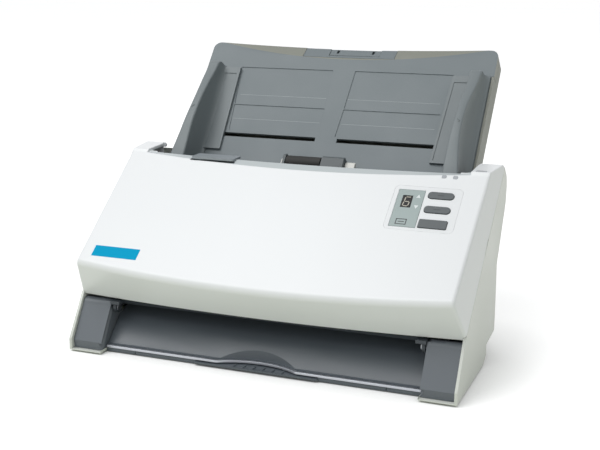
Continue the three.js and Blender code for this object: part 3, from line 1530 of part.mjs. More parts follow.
function pushButton([x, length, s, width, corner]) {
  const cap = slab(buttonOutline(x, length, s, width, 0, corner),
      -bezelThickness - buttonFlange - buttonGap, buttonRise);
  const middle = x + length / 2;
  const flange = box(x - buttonFlange, x + length + buttonFlange, s - width / 2, s + width / 2,
    -bezelThickness - buttonFlange - buttonGap, -bezelThickness - buttonGap);
  const stemLow = -panelBoardDrop + buttonTravel + turnedGap / 3;
  const stem = box(middle - buttonStem / 2, middle + buttonStem / 2, s - buttonStem / 2, s + buttonStem / 2,
    stemLow, -bezelThickness);
  return join(cap, flange, stem);
}

// Inner frame: a folded trough behind the shell that forms the upper side of the paper path

function frameOutline() {
  return [
    [frameFrontY, frameFrontZ], [frameLowY, frameLowZ], [frameExitY, frameExitZ], pathPoint(frameExitS,
        paperGap),
    pathPoint(deckEndS, paperGap), pathPoint(deckEndS, paperGap + frameWall), [deckRearY, deckRearZ],
  ];
}

// A hinge ear of the frame, with a short bar and a web that reach to the column beside it
function hingeLug() {
  const innerX = frameHalfWidth - caseWall;
  const outerX = columnInnerX - partGap;
  const disc = rodX(hingeLugRadius, innerX, frameHalfWidth, hingeY, hingeZ, rollerSides);
  const arm = prism([
    [hingeY, hingeZ + hingeLugRadius], [hingeY, hingeZ], [frameLowY + frameWall, frameLowZ],
    [frameExitY, frameExitZ + frameWall], [frameFrontY + frameWall * 2, frameFrontZ + frameWall * 2],
    [frameFrontY, frameFrontZ],
  ], innerX, frameHalfWidth);
  const bar = box(outerX - lugBarLength, outerX, lugBarFrontY, hingeY, lugBarLowZ, lugBarHighZ);
  const web = prism([
    [lugBarFrontY, lugBarHighZ], [hingeY, lugBarHighZ], [hingeY, lugBarLowZ - lugWebDrop],
  ], innerX, outerX);
  return join(disc, arm, bar, web);
}

function coverInnerFrame() {
  const outline = frameOutline();
  const blank = prism(outline, -frameHalfWidth, frameHalfWidth);
  const inner = offsetOutline(outline.filter((_, i) => i !== outline.length - 2), frameWall);
  const first = inner[0];
  const last = inner[inner.length - 1];
  const rise = overrun * 2;
  const trough = prism([...inner, [last[0] - rise, last[1] + rise], [first[0] - rise, first[1] + rise]],
    -frameHalfWidth + caseWall, frameHalfWidth - caseWall);
  const windows = [...windowPair(pinchRadius, feedS, 0, holderRise), ...windowPair(pinchRadius, exitS, 0,
      holderRise),
    sensorWindow(0, holderRise / 2)].map((tool) => tool.applyMatrix4(pathMatrix));
  const rod = rodX(latchRodRadius + turnedGap, -frameHalfWidth - overrun, frameHalfWidth + overrun,
      ...latchCentre);
  const lugs = [hingeLug(), mirrorX(hingeLug())];
  const pins = [-1, 1].map((side) => rodX(hingePinRadius + turnedGap,
      side < 0 ? -frameHalfWidth - overrun : frameHalfWidth - overrun,
    side < 0 ? overrun - frameHalfWidth : frameHalfWidth + overrun, hingeY, hingeZ));
  return cut(join(cut(blank, trough), ...lugs), ...windows, rod, ...pins, leverNotch());
}

function hingePin(side) {
  const start = frameHalfWidth - caseWall;
  const pin = rodX(hingePinRadius, start, columnInnerX + hingePinLength - hingeBoreGap * 2, hingeY, hingeZ);
  const head = rodX(hingePinRadius * 1.6, start - hingePinRadius / 2, start - turnedGap / 2, hingeY, hingeZ);
  const neck = rodX(hingePinRadius, start - hingePinRadius / 2, start + hingePinRadius, hingeY, hingeZ);
  const right = join(pin, neck, head);
  return side < 0 ? mirrorX(right) : right;
}

// Free rollers of the cover, on the paper side of its frame

function pinchRoller(s) {
  const centre = [s, rollerRise + nipGap + pinchRadius];
  const tyres = [[-tyreInnerX - tyreLength, -tyreInnerX], [tyreInnerX, tyreInnerX + tyreLength]];
  const points = [[0, -frameHalfWidth + caseWall + partGap], [pinchAxleRadius,
      -frameHalfWidth + caseWall + partGap]];
  for (const [start, end] of tyres) {
    points.push([pinchAxleRadius, start], [pinchRadius, start], [pinchRadius, end], [pinchAxleRadius, end]);
  }
  points.push([pinchAxleRadius, frameHalfWidth - caseWall - partGap], [0,
      frameHalfWidth - caseWall - partGap]);
  return turnedX(points, ...centre);
}

const separationH = pickRise + nipGap + separationRadius;

function separationRoller() {
  const profile = [
    [0, separationLeftX - holderArm / 2], [pinchAxleRadius, separationLeftX - holderArm / 2],
        [pinchAxleRadius, separationLeftX],
    [separationRadius, separationLeftX], [separationRadius, separationRightX], [pinchAxleRadius,
        separationRightX],
    [pinchAxleRadius, separationRightX + holderArm / 2], [0, separationRightX + holderArm / 2],
  ];
  return turnedX(profile, pickS, separationH);
}

function separationHolder() {
  const bridge = prism([
    [holderBackS, holderLowRise], [holderBridgeS, holderLowRise], [holderBridgeS, holderRise - chuteWall],
    [holderBackS + chuteWall, holderRise - chuteWall],
  ], holderLeftX, holderRightX);
  const cheek = prism([
    [holderBackS + chuteWall, holderLowRise], [holderFrontS - chuteWall, holderLowRise], [holderFrontS,
        holderLowRise + chuteWall],
    [holderFrontS, holderRise - chuteWall], [holderFrontS - chuteWall, holderRise], [holderBridgeS,
        holderRise],
    [holderBackS + chuteWall * 2, holderRise - chuteWall],
  ], holderLeftX, holderLeftX + holderArm);
  const blockLeft = separationRightX + turnedGap * 2;
  const block = prism([
    [holderBackS + chuteWall, holderLowRise], [holderFrontS - chuteWall, holderLowRise], [holderFrontS,
        holderLowRise + chuteWall],
    [holderFrontS, holderRise - chuteWall], [holderFrontS - chuteWall, holderRise], [holderBridgeS,
        holderRise],
    [holderBackS + chuteWall * 2, holderRise - chuteWall],
  ], blockLeft, holderRightX);
  const bores = rodX(pinchAxleRadius + turnedGap, separationLeftX - holderArm / 2 - turnedGap,
    separationRightX + holderArm / 2 + turnedGap, pickS, separationH);
  return cut(join(bridge, cheek, block), bores);
}

function holderClip(x, width) {
  return prism([
    [clipLowS, clipLowH], [clipHighS, clipLowH], [clipHighS, clipHighH - clipBevel],
    [clipHighS - clipBevel, clipHighH], [clipLowS, clipHighH],
  ], x, x + width);
}

// Latch: a rod across the cover with a hook at each end and the release lever on it

const latchCentre = pathPoint(latchS, latchH);

function strikerCentre() {
  return pathPoint(latchS - hookWidth / 2 - strikerRadius - turnedGap, latchH - hookReach + strikerRadius);
}

function latchBar() {
  const rod = rodX(latchRodRadius, -hookInnerX - turnedGap, hookInnerX + turnedGap, ...latchCentre);
  return join(rod, latchHook(-1), latchHook(1));
}

function latchHook(side) {
  const tip = latchH - hookReach;
  const arm = [
    pathPoint(latchS - hookWidth / 2, latchH), pathPoint(latchS - hookWidth / 2, tip - hookWidth / 2),
    pathPoint(latchS - hookWidth / 2 + hookNose, tip - hookWidth), pathPoint(latchS + hookWidth / 2,
        tip - hookWidth),
    pathPoint(latchS + hookWidth / 2, latchH),
  ];
  const hub = rodX(hookWidth, hookInnerX, hookInnerX + hookThickness, ...latchCentre, shaftSides);
  const hook = join(prism(arm, hookInnerX, hookInnerX + hookThickness), hub);
  return side < 0 ? mirrorX(hook) : hook;
}

function releaseLever() {
  const [rodY, rodZ] = latchCentre;
  const left = leverLeftX + leverNeckInset;
  const right = leverRightX - leverNeckInset;
  const collar = rodX(latchRodRadius + turnedGap + leverThickness, left, right, rodY, rodZ);
  const half = leverThickness * 3 / 4;
  const neckTop = leverLowZ + leverThickness / 2;
  const neck = prism([
    [rodY - half, rodZ], [rodY + half, rodZ], [rodY + half, neckTop], [rodY - half, neckTop],
  ], left, right);
  const plate = slab(roundedRectangle(leverLeftX, leverRightX, leverFrontY, leverRearY, leverCorner),
    leverLowZ, leverLowZ + leverThickness);
  const bore = rodX(latchRodRadius + turnedGap, leverLeftX - overrun, leverRightX + overrun, rodY, rodZ);
  return cut(join(collar, neck, plate), bore);
}

// Rack and pinion behind the chute

function guidePinion() {
  const gear = extrude(gearShape(guideGearTeeth, guideGearModule, guideAxleRadius + turnedGap), rackHeight,
      6);
  return gear.translate(0, slotCentreS, rackTopH - rackHeight);
}

// The left rack lies up the slope from the pinion, with a tooth at the axle's place across
function leftRack() {
  const toothPitch = Math.PI * guideGearModule;
  const toothShares = [[-0.30, 1.2], [-0.13, -0.8], [0.13, -0.8], [0.30, 1.2]];
  const leftEnd = -guideLugInnerX - guideLugLength;
  const first = Math.ceil(leftEnd / toothPitch) + 1;
  const last = Math.floor(rackOverlap / toothPitch);
  const teeth = [];
  for (let i = first; i <= last; i += 1) {
    for (const [alongShare, heightShare] of toothShares) {
      teeth.push([(i + alongShare) * toothPitch, heightShare * guideGearModule]);
    }
  }
  const root = toothShares[0][1] * guideGearModule;
  const outline = [[leftEnd, root], ...teeth, [rackOverlap + toothPitch / 2, root],
    [rackOverlap + toothPitch / 2, root + rackDepth], [leftEnd, root + rackDepth]];
  const pitchLine = slotCentreS + guideGearModule * guideGearTeeth / 2;
  const bar = slab(outline, rackTopH - rackHeight, rackTopH).translate(0, pitchLine, 0);
  const foot = box(leftEnd, -guideLugInnerX, slotCentreS - slotWidth / 2 + guideLugGap,
      pitchLine + root + rackDepth / 2,
    rackTopH - rackHeight, rackTopH);
  return join(bar, foot);
}

function rightRack() {
  return leftRack().translate(0, -slotCentreS, 0).rotateZ(Math.PI).translate(0, slotCentreS, 0);
}

// Assembly

function piece(parent, name, geometry, colourName) {
  const [color, roughness, metalness] = colours[colourName];
  const flat = geometry.index ? geometry.toNonIndexed() : geometry;
  flat.computeVertexNormals();
  const mesh = new THREE.Mesh(flat, new THREE.MeshStandardMaterial({ color, roughness, metalness }));
  mesh.name = name;
  parent.add(mesh);
  return mesh;
}

const scanner = new THREE.Group();
scanner.name = 'document_scanner';
const pathGroup = new THREE.Group();
pathGroup.applyMatrix4(pathMatrix);
const lidGroup = new THREE.Group();
lidGroup.applyMatrix4(lidMatrix);
scanner.add(pathGroup, lidGroup);

const sides = { left: -1, right: 1 };

piece(scanner, 'lower_case', lowerCase(), 'white');
piece(scanner, 'rear_cover', rearCover(), 'rearGrey');
piece(scanner, 'output_tray', outputTray(), 'tray');
piece(scanner, 'tray_lip_strip', trayLipStrip(), 'silver');
piece(scanner, 'tray_extension', trayExtension(), 'column');
piece(scanner, 'main_board', mainBoard(), 'board');
piece(scanner, 'power_inlet', powerInlet(), 'dark');
piece(scanner, 'usb_socket', usbSocket(), 'steel');
piece(scanner, 'switch_housing', switchHousing(), 'dark');
piece(scanner, 'power_switch', powerSwitch(), 'dark');
piece(scanner, 'drive_motor', driveMotor(), 'steel');
piece(scanner, 'motor_pinion', motorPinion(), 'nylon');
piece(scanner, 'idler_gear', drivenGear(gears.idler, idlerPinRadius + turnedGap), 'nylon');
piece(scanner, 'feed_gear', drivenGear(gears.feed, axleRadius + turnedGap), 'nylon');
piece(scanner, 'exit_gear', drivenGear(gears.exit, axleRadius + turnedGap), 'nylon');
piece(scanner, 'feed_roller', feedRoller(), 'rubber');
piece(scanner, 'exit_roller', drivenRoller(exitRadius, exitCentre), 'rubber');
piece(scanner, 'pick_roller', pickRoller(), 'rubber');
piece(scanner, 'pick_belt', pickBelt(), 'rubber');
for (const [name, side] of Object.entries(sides)) {
  piece(scanner, `${name}_end_column`, endColumn(side), 'column');
  piece(scanner, `${name}_frame_plate`, framePlate(side), 'steel');
  piece(scanner, `hinge_pin_${name}`, hingePin(side), 'steel');
  piece(scanner, `front_foot_${name}`, foot(), 'rubber').position.set(side * frontFootX, frontFootY, 0);
  piece(scanner, `rear_foot_${name}`, foot(), 'rubber').position.set(side * rearFootX, rearFootY, 0);
}

piece(pathGroup, 'lower_paper_guide', lowerPaperGuide(), 'column');
piece(pathGroup, 'lower_sensor_glass', sensorGlass(-glassThickness - turnedGap / 2), 'glass');
piece(pathGroup, 'lower_sensor_housing', sensorHousing(-guideSlabWall - turnedGap - sensorDepth,
    -guideSlabWall - turnedGap, 1), 'dark');
piece(pathGroup, 'paper_chute', paperChute(), 'chute');
piece(pathGroup, 'chute_rear_cover', chuteRearCover(), 'chute');
piece(pathGroup, 'chute_extension', chuteExtension(), 'chute');
piece(pathGroup, 'stop_flap', stopFlap(), 'chute');
piece(pathGroup, 'left_paper_guide', paperGuide(-1), 'chute');
piece(pathGroup, 'right_paper_guide', paperGuide(1), 'chute');
piece(pathGroup, 'guide_pinion', guidePinion(), 'nylon');
piece(pathGroup, 'upper_sensor_glass', sensorGlass(paperGap + turnedGap), 'glass');
piece(pathGroup, 'upper_sensor_housing', sensorHousing(paperGap + frameWall + turnedGap,
    paperGap + frameWall + turnedGap + sensorDepth, -1), 'dark');
piece(pathGroup, 'feed_pinch_roller', pinchRoller(feedS), 'rubber');
piece(pathGroup, 'exit_pinch_roller', pinchRoller(exitS), 'rubber');
piece(pathGroup, 'separation_roller', separationRoller(), 'rubber');
piece(pathGroup, 'separation_holder', separationHolder(), 'column');
piece(pathGroup, 'holder_clip_left', holderClip(holderLeftX - turnedGap - clipSmallWidth, clipSmallWidth),
    'clip');
piece(pathGroup, 'holder_clip_right', holderClip(holderRightX + turnedGap, clipWidth), 'clip');

piece(scanner, 'cover_shell', coverShell(), 'white');
piece(scanner, 'cover_inner_frame', coverInnerFrame(), 'column');
piece(scanner, 'latch_bar', latchBar(), 'steel');
piece(scanner, 'release_lever', releaseLever(), 'column');
piece(lidGroup, 'panel_bezel', panelBezel(), 'white');
piece(lidGroup, 'label_plate', labelPlate(), 'label');
piece(lidGroup, 'display_window', displayWindow(), 'display');
piece(lidGroup, 'panel_board', panelBoard(), 'board');
piece(lidGroup, 'up_button', pushButton(buttons.up), 'button');
piece(lidGroup, 'down_button', pushButton(buttons.down), 'button');
piece(lidGroup, 'scan_button', pushButton(buttons.scan), 'button');
piece(lidGroup, 'power_lamp', lamp(0), 'lamp');
piece(lidGroup, 'status_lamp', lamp(1), 'lamp');

const bounds = new THREE.Box3().setFromObject(scanner, true);
scanner.position.y = -(bounds.min.y + bounds.max.y) / 2;

export default scanner;
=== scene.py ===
# Looks for the sheet-fed document scanner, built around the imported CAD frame.
# Pieces are drawn in millimetres on their own plane and then put in the row frame in metres.
import json
import math
from math import radians

import bmesh
import bpy
from mathutils import Matrix, Vector

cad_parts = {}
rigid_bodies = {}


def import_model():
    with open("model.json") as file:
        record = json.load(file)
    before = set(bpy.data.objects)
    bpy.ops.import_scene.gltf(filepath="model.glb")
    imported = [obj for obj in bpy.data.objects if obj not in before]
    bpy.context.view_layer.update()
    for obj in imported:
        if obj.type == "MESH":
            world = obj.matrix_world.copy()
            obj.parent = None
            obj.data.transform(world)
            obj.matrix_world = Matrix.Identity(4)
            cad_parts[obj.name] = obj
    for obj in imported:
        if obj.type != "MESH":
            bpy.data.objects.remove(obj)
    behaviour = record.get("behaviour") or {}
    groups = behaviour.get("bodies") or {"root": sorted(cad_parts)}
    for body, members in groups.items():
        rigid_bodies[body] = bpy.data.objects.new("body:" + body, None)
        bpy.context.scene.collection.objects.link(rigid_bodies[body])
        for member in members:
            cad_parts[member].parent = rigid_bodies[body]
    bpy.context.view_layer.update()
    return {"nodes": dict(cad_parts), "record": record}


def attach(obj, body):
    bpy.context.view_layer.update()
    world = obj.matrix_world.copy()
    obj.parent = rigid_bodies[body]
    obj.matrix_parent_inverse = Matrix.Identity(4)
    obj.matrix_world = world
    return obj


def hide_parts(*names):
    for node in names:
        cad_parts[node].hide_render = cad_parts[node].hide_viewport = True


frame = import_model()
print("frame loaded:", len(frame["nodes"]), "nodes")

# where things are: the case frame, the sloping paper plane and the cover's top plane
planes = {
    "millimetre": 0.001,
    "caseFront": 118.587399,                    # how far the frame's origin lies behind the case's own
    "paper": {"angle": 49.2, "y": 162.5, "z": 157.9},
    "lid": {"angle": 36.5814, "y": 2.4, "z": 73.8},
}


def caseMatrix():
    size = planes["millimetre"]
    return Matrix.Scale(size, 4) @ Matrix.Translation((0, -planes["caseFront"], 0))


def planeMatrix(name):
    spot = planes[name]
    turn = Matrix.Rotation(radians(spot["angle"]), 4, "X")
    return caseMatrix() @ Matrix.Translation((0, spot["y"], spot["z"])) @ turn


onCase, onPaper, onLid = caseMatrix(), planeMatrix("paper"), planeMatrix("lid")


# mesh tools, with their merge distances, their angles in degrees and their steps
meshCare = {
    "merge": 0.001, "bevelMerge": 0.004, "copyMerge": 0.000002, "flat": 0.4,
    "roundAngle": 25, "roundSteps": 3, "softAngle": 30, "softSteps": 2, "sharpAngle": 32,
}


def newObject(name, mesh):
    piece = bpy.data.objects.new(name, mesh)
    bpy.context.scene.collection.objects.link(piece)
    return piece


def reworkMesh(mesh, *changes):
    work = bmesh.new()
    work.from_mesh(mesh)
    for change in changes:
        change(work)
    work.to_mesh(mesh)
    work.free()


def mergePoints(work, distance):
    bmesh.ops.remove_doubles(work, verts=work.verts, dist=distance)


def turnOutwards(work):
    bmesh.ops.recalc_face_normals(work, faces=work.faces)


def solidFrom(name, points, faces):
    mesh = bpy.data.meshes.new(name)
    mesh.from_pydata([tuple(point) for point in points], [], faces)
    reworkMesh(mesh, lambda work: mergePoints(work, meshCare["merge"]), turnOutwards)
    return newObject(name, mesh)


def gridSolid(name, rings):
    # closed rings of points joined in order, with a face over each end
    count = len(rings[0])
    points = [point for ring in rings for point in ring]
    faces = []
    for i in range(len(rings) - 1):
        here, there = i * count, (i + 1) * count
        for j in range(count):
            after = (j + 1) % count
            faces.append((here + j, here + after, there + after, there + j))
    last = (len(rings) - 1) * count
    return solidFrom(name, points, faces + [tuple(range(count))[::-1], tuple(range(last, last + count))])


def extruded(outline, low, high, along="Z"):
    # outline pairs are (y, z) along X, (x, z) along Y and (x, y) along Z
    spots = {
        "X": lambda a, b, c: (c, a, b),
        "Y": lambda a, b, c: (a, c, b),
        "Z": lambda a, b, c: (a, b, c),
    }[along]
    return gridSolid("extruded", [[spots(a, b, level) for a, b in outline] for level in (low, high)])


def block(x0, x1, y0, y1, z0, z1):
    return extruded([(x0, y0), (x1, y0), (x1, y1), (x0, y1)], z0, z1)


def lofted(stations, ringAt):
    return gridSolid("lofted", [[(x, y, z) for y, z in ringAt(x)] for x in stations])


def arcPoints(cx, cy, radius, start, end, steps):
    return [(cx + radius * math.cos(radians(start + (end - start) * i / steps)),
             cy + radius * math.sin(radians(start + (end - start) * i / steps))) for i in range(steps + 1)]


def roundedOutline(x0, x1, y0, y1, radius, steps=8):
    return (arcPoints(x1 - radius, y0 + radius, radius, -90, 0, steps)
            + arcPoints(x1 - radius, y1 - radius, radius, 0, 90, steps)
            + arcPoints(x0 + radius, y1 - radius, radius, 90, 180, steps)
            + arcPoints(x0 + radius, y0 + radius, radius, 180, 270, steps))


def filletPoints(before, corner, after, radius, steps):
    a = (Vector(before) - Vector(corner)).normalized()
    b = (Vector(after) - Vector(corner)).normalized()
    half = a.angle(b) / 2
    centre = Vector(corner) + (a + b).normalized() * radius / math.sin(half)
    start = Vector(corner) + a * radius / math.tan(half) - centre
    end = Vector(corner) + b * radius / math.tan(half) - centre
    sweep = math.atan2(start.x * end.y - start.y * end.x, start.dot(end))
    spots = []
    for i in range(steps + 1):
        turn = sweep * i / steps
        spots.append((centre.x + start.x * math.cos(turn) - start.y * math.sin(turn),
                      centre.y + start.x * math.sin(turn) + start.y * math.cos(turn)))
    return spots


def bakeModifiers(piece):
    graph = bpy.context.evaluated_depsgraph_get()
    mesh = bpy.data.meshes.new_from_object(piece.evaluated_get(graph))
    piece.modifiers.clear()
    piece.data = mesh
    return piece


def combined(base, tools, operation="DIFFERENCE"):
    for tool in tools:
        step = base.modifiers.new("step", "BOOLEAN")
        step.operation, step.object, step.solver = operation, tool, "MANIFOLD"
    bakeModifiers(base)
    for tool in tools:
        bpy.data.objects.remove(tool)
    return base


def roundEdges(piece, width, chosen=None):
    # all the outward edges, or the ones that "chosen" picks by their middle
    def change(work):
        mergePoints(work, meshCare["bevelMerge"])
        bmesh.ops.dissolve_limit(work, angle_limit=radians(meshCare["flat"]), verts=work.verts,
                                 edges=work.edges)
        work.normal_update()
        edges = [edge for edge in work.edges if len(edge.link_faces) == 2
                 and edge.calc_face_angle_signed() > radians(meshCare["roundAngle"])
                 and (chosen is None or chosen((edge.verts[0].co + edge.verts[1].co) / 2))]
        bmesh.ops.bevel(work, geom=edges, offset=width, offset_type="OFFSET", profile=0.5, affect="EDGES",
                        segments=meshCare["roundSteps"], clamp_overlap=True, loop_slide=True)
    reworkMesh(piece.data, change)
    return piece


def joinPieces(parts, name):
    work = bmesh.new()
    for part in parts:
        work.from_mesh(part.data)
        bpy.data.objects.remove(part)
    mesh = bpy.data.meshes.new(name)
    work.to_mesh(mesh)
    work.free()
    return newObject(name, mesh)


def copyOfNode(node, name):
    # a merged copy of a CAD node's mesh, in the row frame
    mesh = frame["nodes"][node].data.copy()
    mesh.name = name
    reworkMesh(mesh, lambda work: mergePoints(work, meshCare["copyMerge"]))
    return newObject(name, mesh)


def softEdges(piece, width):
    bevel = piece.modifiers.new("rounded edges", "BEVEL")
    bevel.width, bevel.segments, bevel.limit_method = width, meshCare["softSteps"], "ANGLE"
    bevel.angle_limit = radians(meshCare["softAngle"])
    bevel.harden_normals = True
    return bakeModifiers(piece)


def smoothShading(piece):
    # big faces keep their own direction, so flat areas stay flat beside rounded edges
    piece.data.shade_smooth()
    piece.data.set_sharp_from_angle(angle=radians(meshCare["sharpAngle"]))
    even = piece.modifiers.new("even normals", "WEIGHTED_NORMAL")
    even.mode, even.weight, even.keep_sharp = "FACE_AREA", 100, True
    bakeModifiers(piece)


def finishPiece(piece, name, node, material=None, matrix=None, replaced=()):
    # a piece belongs to a CAD node: it rides on the node's body and takes the finish of the node's slot
    body, slot = bodyOf[node], slotOf[node]
    if matrix is not None:
        piece.data.transform(matrix)
    smoothShading(piece)
    piece.name = name
    piece.data.name = name
    piece.data.materials.clear()
    piece.data.materials.append(material or finishes[slot])
    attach(piece, body)
    if replaced:
        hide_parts(*replaced)
    return piece


# node tools, for shapes and for materials
inputKinds = {int: "Int", float: "Float", tuple: "Color", type(None): "Vector"}


def nodeGroup(name, kind, inputs, outputs):
    # the kind of an input follows from its first value; None stands for a vector that is always linked
    group = bpy.data.node_groups.new(name, kind)
    for label, value in inputs.items():
        socket = group.interface.new_socket(label, in_out="INPUT",
                                            socket_type="NodeSocket" + inputKinds[type(value)])
        if value is not None:
            socket.default_value = value
    for label, outputKind in outputs.items():
        group.interface.new_socket(label, in_out="OUTPUT", socket_type="NodeSocket" + outputKind)
    return group, group.nodes.new("NodeGroupInput").outputs, group.nodes.new("NodeGroupOutput")


def fillNode(tree, node, inputs):
    # plain values go on the sockets, outputs of other nodes are linked to them
    for label, value in inputs.items():
        socket = node.inputs[label]
        if isinstance(value, bpy.types.NodeSocket):
            tree.links.new(value, socket)
        else:
            socket.default_value = value
    return node


def madeNode(tree, kind, inputs=None, **settings):
    node = tree.nodes.new(kind)
    for label, value in settings.items():
        setattr(node, label, value)
    return fillNode(tree, node, inputs or {})


def mathNode(tree, operation, *values):
    return madeNode(tree, "ShaderNodeMath", dict(enumerate(values)), operation=operation).outputs[0]


def vectorNode(tree, *values):
    return madeNode(tree, "ShaderNodeCombineXYZ", dict(enumerate(values))).outputs[0]


def sweptBar(tree, given, curve):
    # a bar with rounded long edges along a curve; the tree's own inputs give its size
    profile = madeNode(tree, "GeometryNodeCurvePrimitiveQuadrilateral",
                       {"Width": given["Width"], "Height": given["Height"]})
    rounded = madeNode(tree, "GeometryNodeFilletCurve", {
        "Count": 3, "Curve": profile.outputs["Curve"], "Radius": given["Corner"],
    }, mode="POLY")
    swept = madeNode(tree, "GeometryNodeCurveToMesh",
                     {"Fill Caps": True, "Curve": curve, "Profile Curve": rounded.outputs["Curve"]})
    return swept.outputs["Mesh"]


def geometryTree(name, inputs):
    return nodeGroup(name, "GeometryNodeTree", inputs, {"Geometry": "Geometry"})


def endTree(tree, end, geometry, material):
    real = madeNode(tree, "GeometryNodeRealizeInstances", {"Geometry": geometry})
    paint = madeNode(tree, "GeometryNodeSetMaterial",
                     {"Material": material, "Geometry": real.outputs["Geometry"]})
    fillNode(tree, end, {"Geometry": paint.outputs["Geometry"]})
    return tree


def grown(tree, values):
    # the tree's result as a plain mesh
    piece = newObject(tree.name, bpy.data.meshes.new(tree.name))
    modifier = piece.modifiers.new("shape", "NODES")
    modifier.node_group = tree
    for item in tree.interface.items_tree:
        if item.in_out == "INPUT" and item.name in values:
            modifier[item.identifier] = values[item.name]
    return bakeModifiers(piece)


def barRowTree(name, material, values):
    # bars along Y, side by side along X
    tree, given, end = geometryTree(name, values)
    half = mathNode(tree, "MULTIPLY", given["Length"], 0.5)
    line = madeNode(tree, "GeometryNodeCurvePrimitiveLine", {
        "Start": vectorNode(tree, 0, mathNode(tree, "MULTIPLY", half, -1), 0),
        "End": vectorNode(tree, 0, half, 0),
    })
    row = madeNode(tree, "GeometryNodeMeshLine",
                   {"Count": given["Count"], "Offset": vectorNode(tree, given["Pitch"], 0, 0)})
    spread = madeNode(tree, "GeometryNodeInstanceOnPoints", {
        "Points": row.outputs["Mesh"], "Instance": sweptBar(tree, given, line.outputs["Curve"]),
    })
    return endTree(tree, end, spread.outputs["Instances"], material)


def lipTree(name, material, values):
    # a thin strip along the tray's front edge that steps back in an arc round the finger scoop
    tree, given, end = geometryTree(name, values)
    half, depth = given["Half Length"], given["Scoop Depth"]
    line = madeNode(tree, "GeometryNodeCurvePrimitiveLine", {
        "Start": vectorNode(tree, mathNode(tree, "MULTIPLY", half, -1), 0, 0),
        "End": vectorNode(tree, half, 0, 0),
    })
    fine = madeNode(tree, "GeometryNodeResampleCurve",
                    {"Curve": line.outputs["Curve"], "Count": given["Count"]})
    place = madeNode(tree, "GeometryNodeInputPosition")
    axes = madeNode(tree, "ShaderNodeSeparateXYZ", {"Vector": place.outputs["Position"]})
    spanSquare = mathNode(tree, "POWER", given["Scoop Half"], 2.0)
    depthSquare = mathNode(tree, "POWER", depth, 2.0)
    radius = mathNode(tree, "DIVIDE", mathNode(tree, "ADD", spanSquare, depthSquare),
                      mathNode(tree, "MULTIPLY", depth, 2.0))
    radiusSquare = mathNode(tree, "POWER", radius, 2.0)
    awaySquare = mathNode(tree, "POWER", axes.outputs["X"], 2.0)
    rise = mathNode(tree, "SQRT", mathNode(tree, "SUBTRACT", radiusSquare, awaySquare))
    chord = mathNode(tree, "SUBTRACT", radius, depth)
    back = mathNode(tree, "MAXIMUM", mathNode(tree, "SUBTRACT", rise, chord), 0.0)
    move = madeNode(tree, "GeometryNodeSetPosition",
                    {"Geometry": fine.outputs["Curve"], "Offset": vectorNode(tree, 0, back, 0)})
    upright = madeNode(tree, "GeometryNodeSetCurveNormal", {"Curve": move.outputs["Geometry"]}, mode="Z_UP")
    return endTree(tree, end, sweptBar(tree, given, upright.outputs["Curve"]), material)


# materials: two shared effects, and one material for each finish
surface = {
    "patchDetail": 3, "fineDetail": 2, "smearScale": 30, "smearLow": 0.3, "smearHigh": 0.7,
    "reliefDistance": 0.0004, "coatRoughness": 0.12,
}


def toneGroup():
    # slow and fine differences of tone and of shine over a moulded part
    group, given, end = nodeGroup("mouldedTone", "ShaderNodeTree", {
        "Position": None, "Light": (1, 1, 1, 1), "Dark": (0.9, 0.9, 0.9, 1), "Patch Scale": 18.0,
        "Shine Low": 0.3, "Shine High": 0.4,
    }, {"Color": "Color", "Roughness": "Float"})
    patches = madeNode(group, "ShaderNodeTexNoise", {
        "Detail": surface["patchDetail"], "Vector": given["Position"], "Scale": given["Patch Scale"],
    })
    tint = madeNode(group, "ShaderNodeMix", {
        "Factor": patches.outputs["Fac"], "A": given["Dark"], "B": given["Light"],
    }, data_type="RGBA")
    smears = madeNode(group, "ShaderNodeTexNoise", {
        "Scale": surface["smearScale"], "Detail": surface["fineDetail"], "Vector": given["Position"],
    })
    shine = madeNode(group, "ShaderNodeMapRange", {
        "From Min": surface["smearLow"], "From Max": surface["smearHigh"], "Value": smears.outputs["Fac"],
        "To Min": given["Shine Low"], "To Max": given["Shine High"],
    })
    fillNode(group, end, {"Color": tint.outputs["Result"], "Roughness": shine.outputs["Result"]})
    return group


def grainGroup():
    # the fine pebbled texture of a spark-eroded mould
    group, given, end = nodeGroup("mouldGrain", "ShaderNodeTree", {
        "Position": None, "Grain Scale": 1800.0, "Wave Scale": 60.0, "Wave Share": 0.3,
    }, {"Height": "Float"})
    pebbles = madeNode(group, "ShaderNodeTexVoronoi", {
        "Vector": given["Position"], "Scale": given["Grain Scale"],
    }, feature="SMOOTH_F1")
    waves = madeNode(group, "ShaderNodeTexNoise", {
        "Detail": surface["fineDetail"], "Vector": given["Position"], "Scale": given["Wave Scale"],
    })
    blend = madeNode(group, "ShaderNodeMix", {
        "Factor": given["Wave Share"], "A": pebbles.outputs["Distance"], "B": waves.outputs["Fac"],
    })
    fillNode(group, end, {"Height": blend.outputs["Result"]})
    return group


toneNodes, grainNodes = toneGroup(), grainGroup()


def linear(red, green, blue):
    def channel(value):
        share = value / 255
        return share / 12.92 if share <= 0.04045 else ((share + 0.055) / 1.055) ** 2.4
    return (channel(red), channel(green), channel(blue), 1)


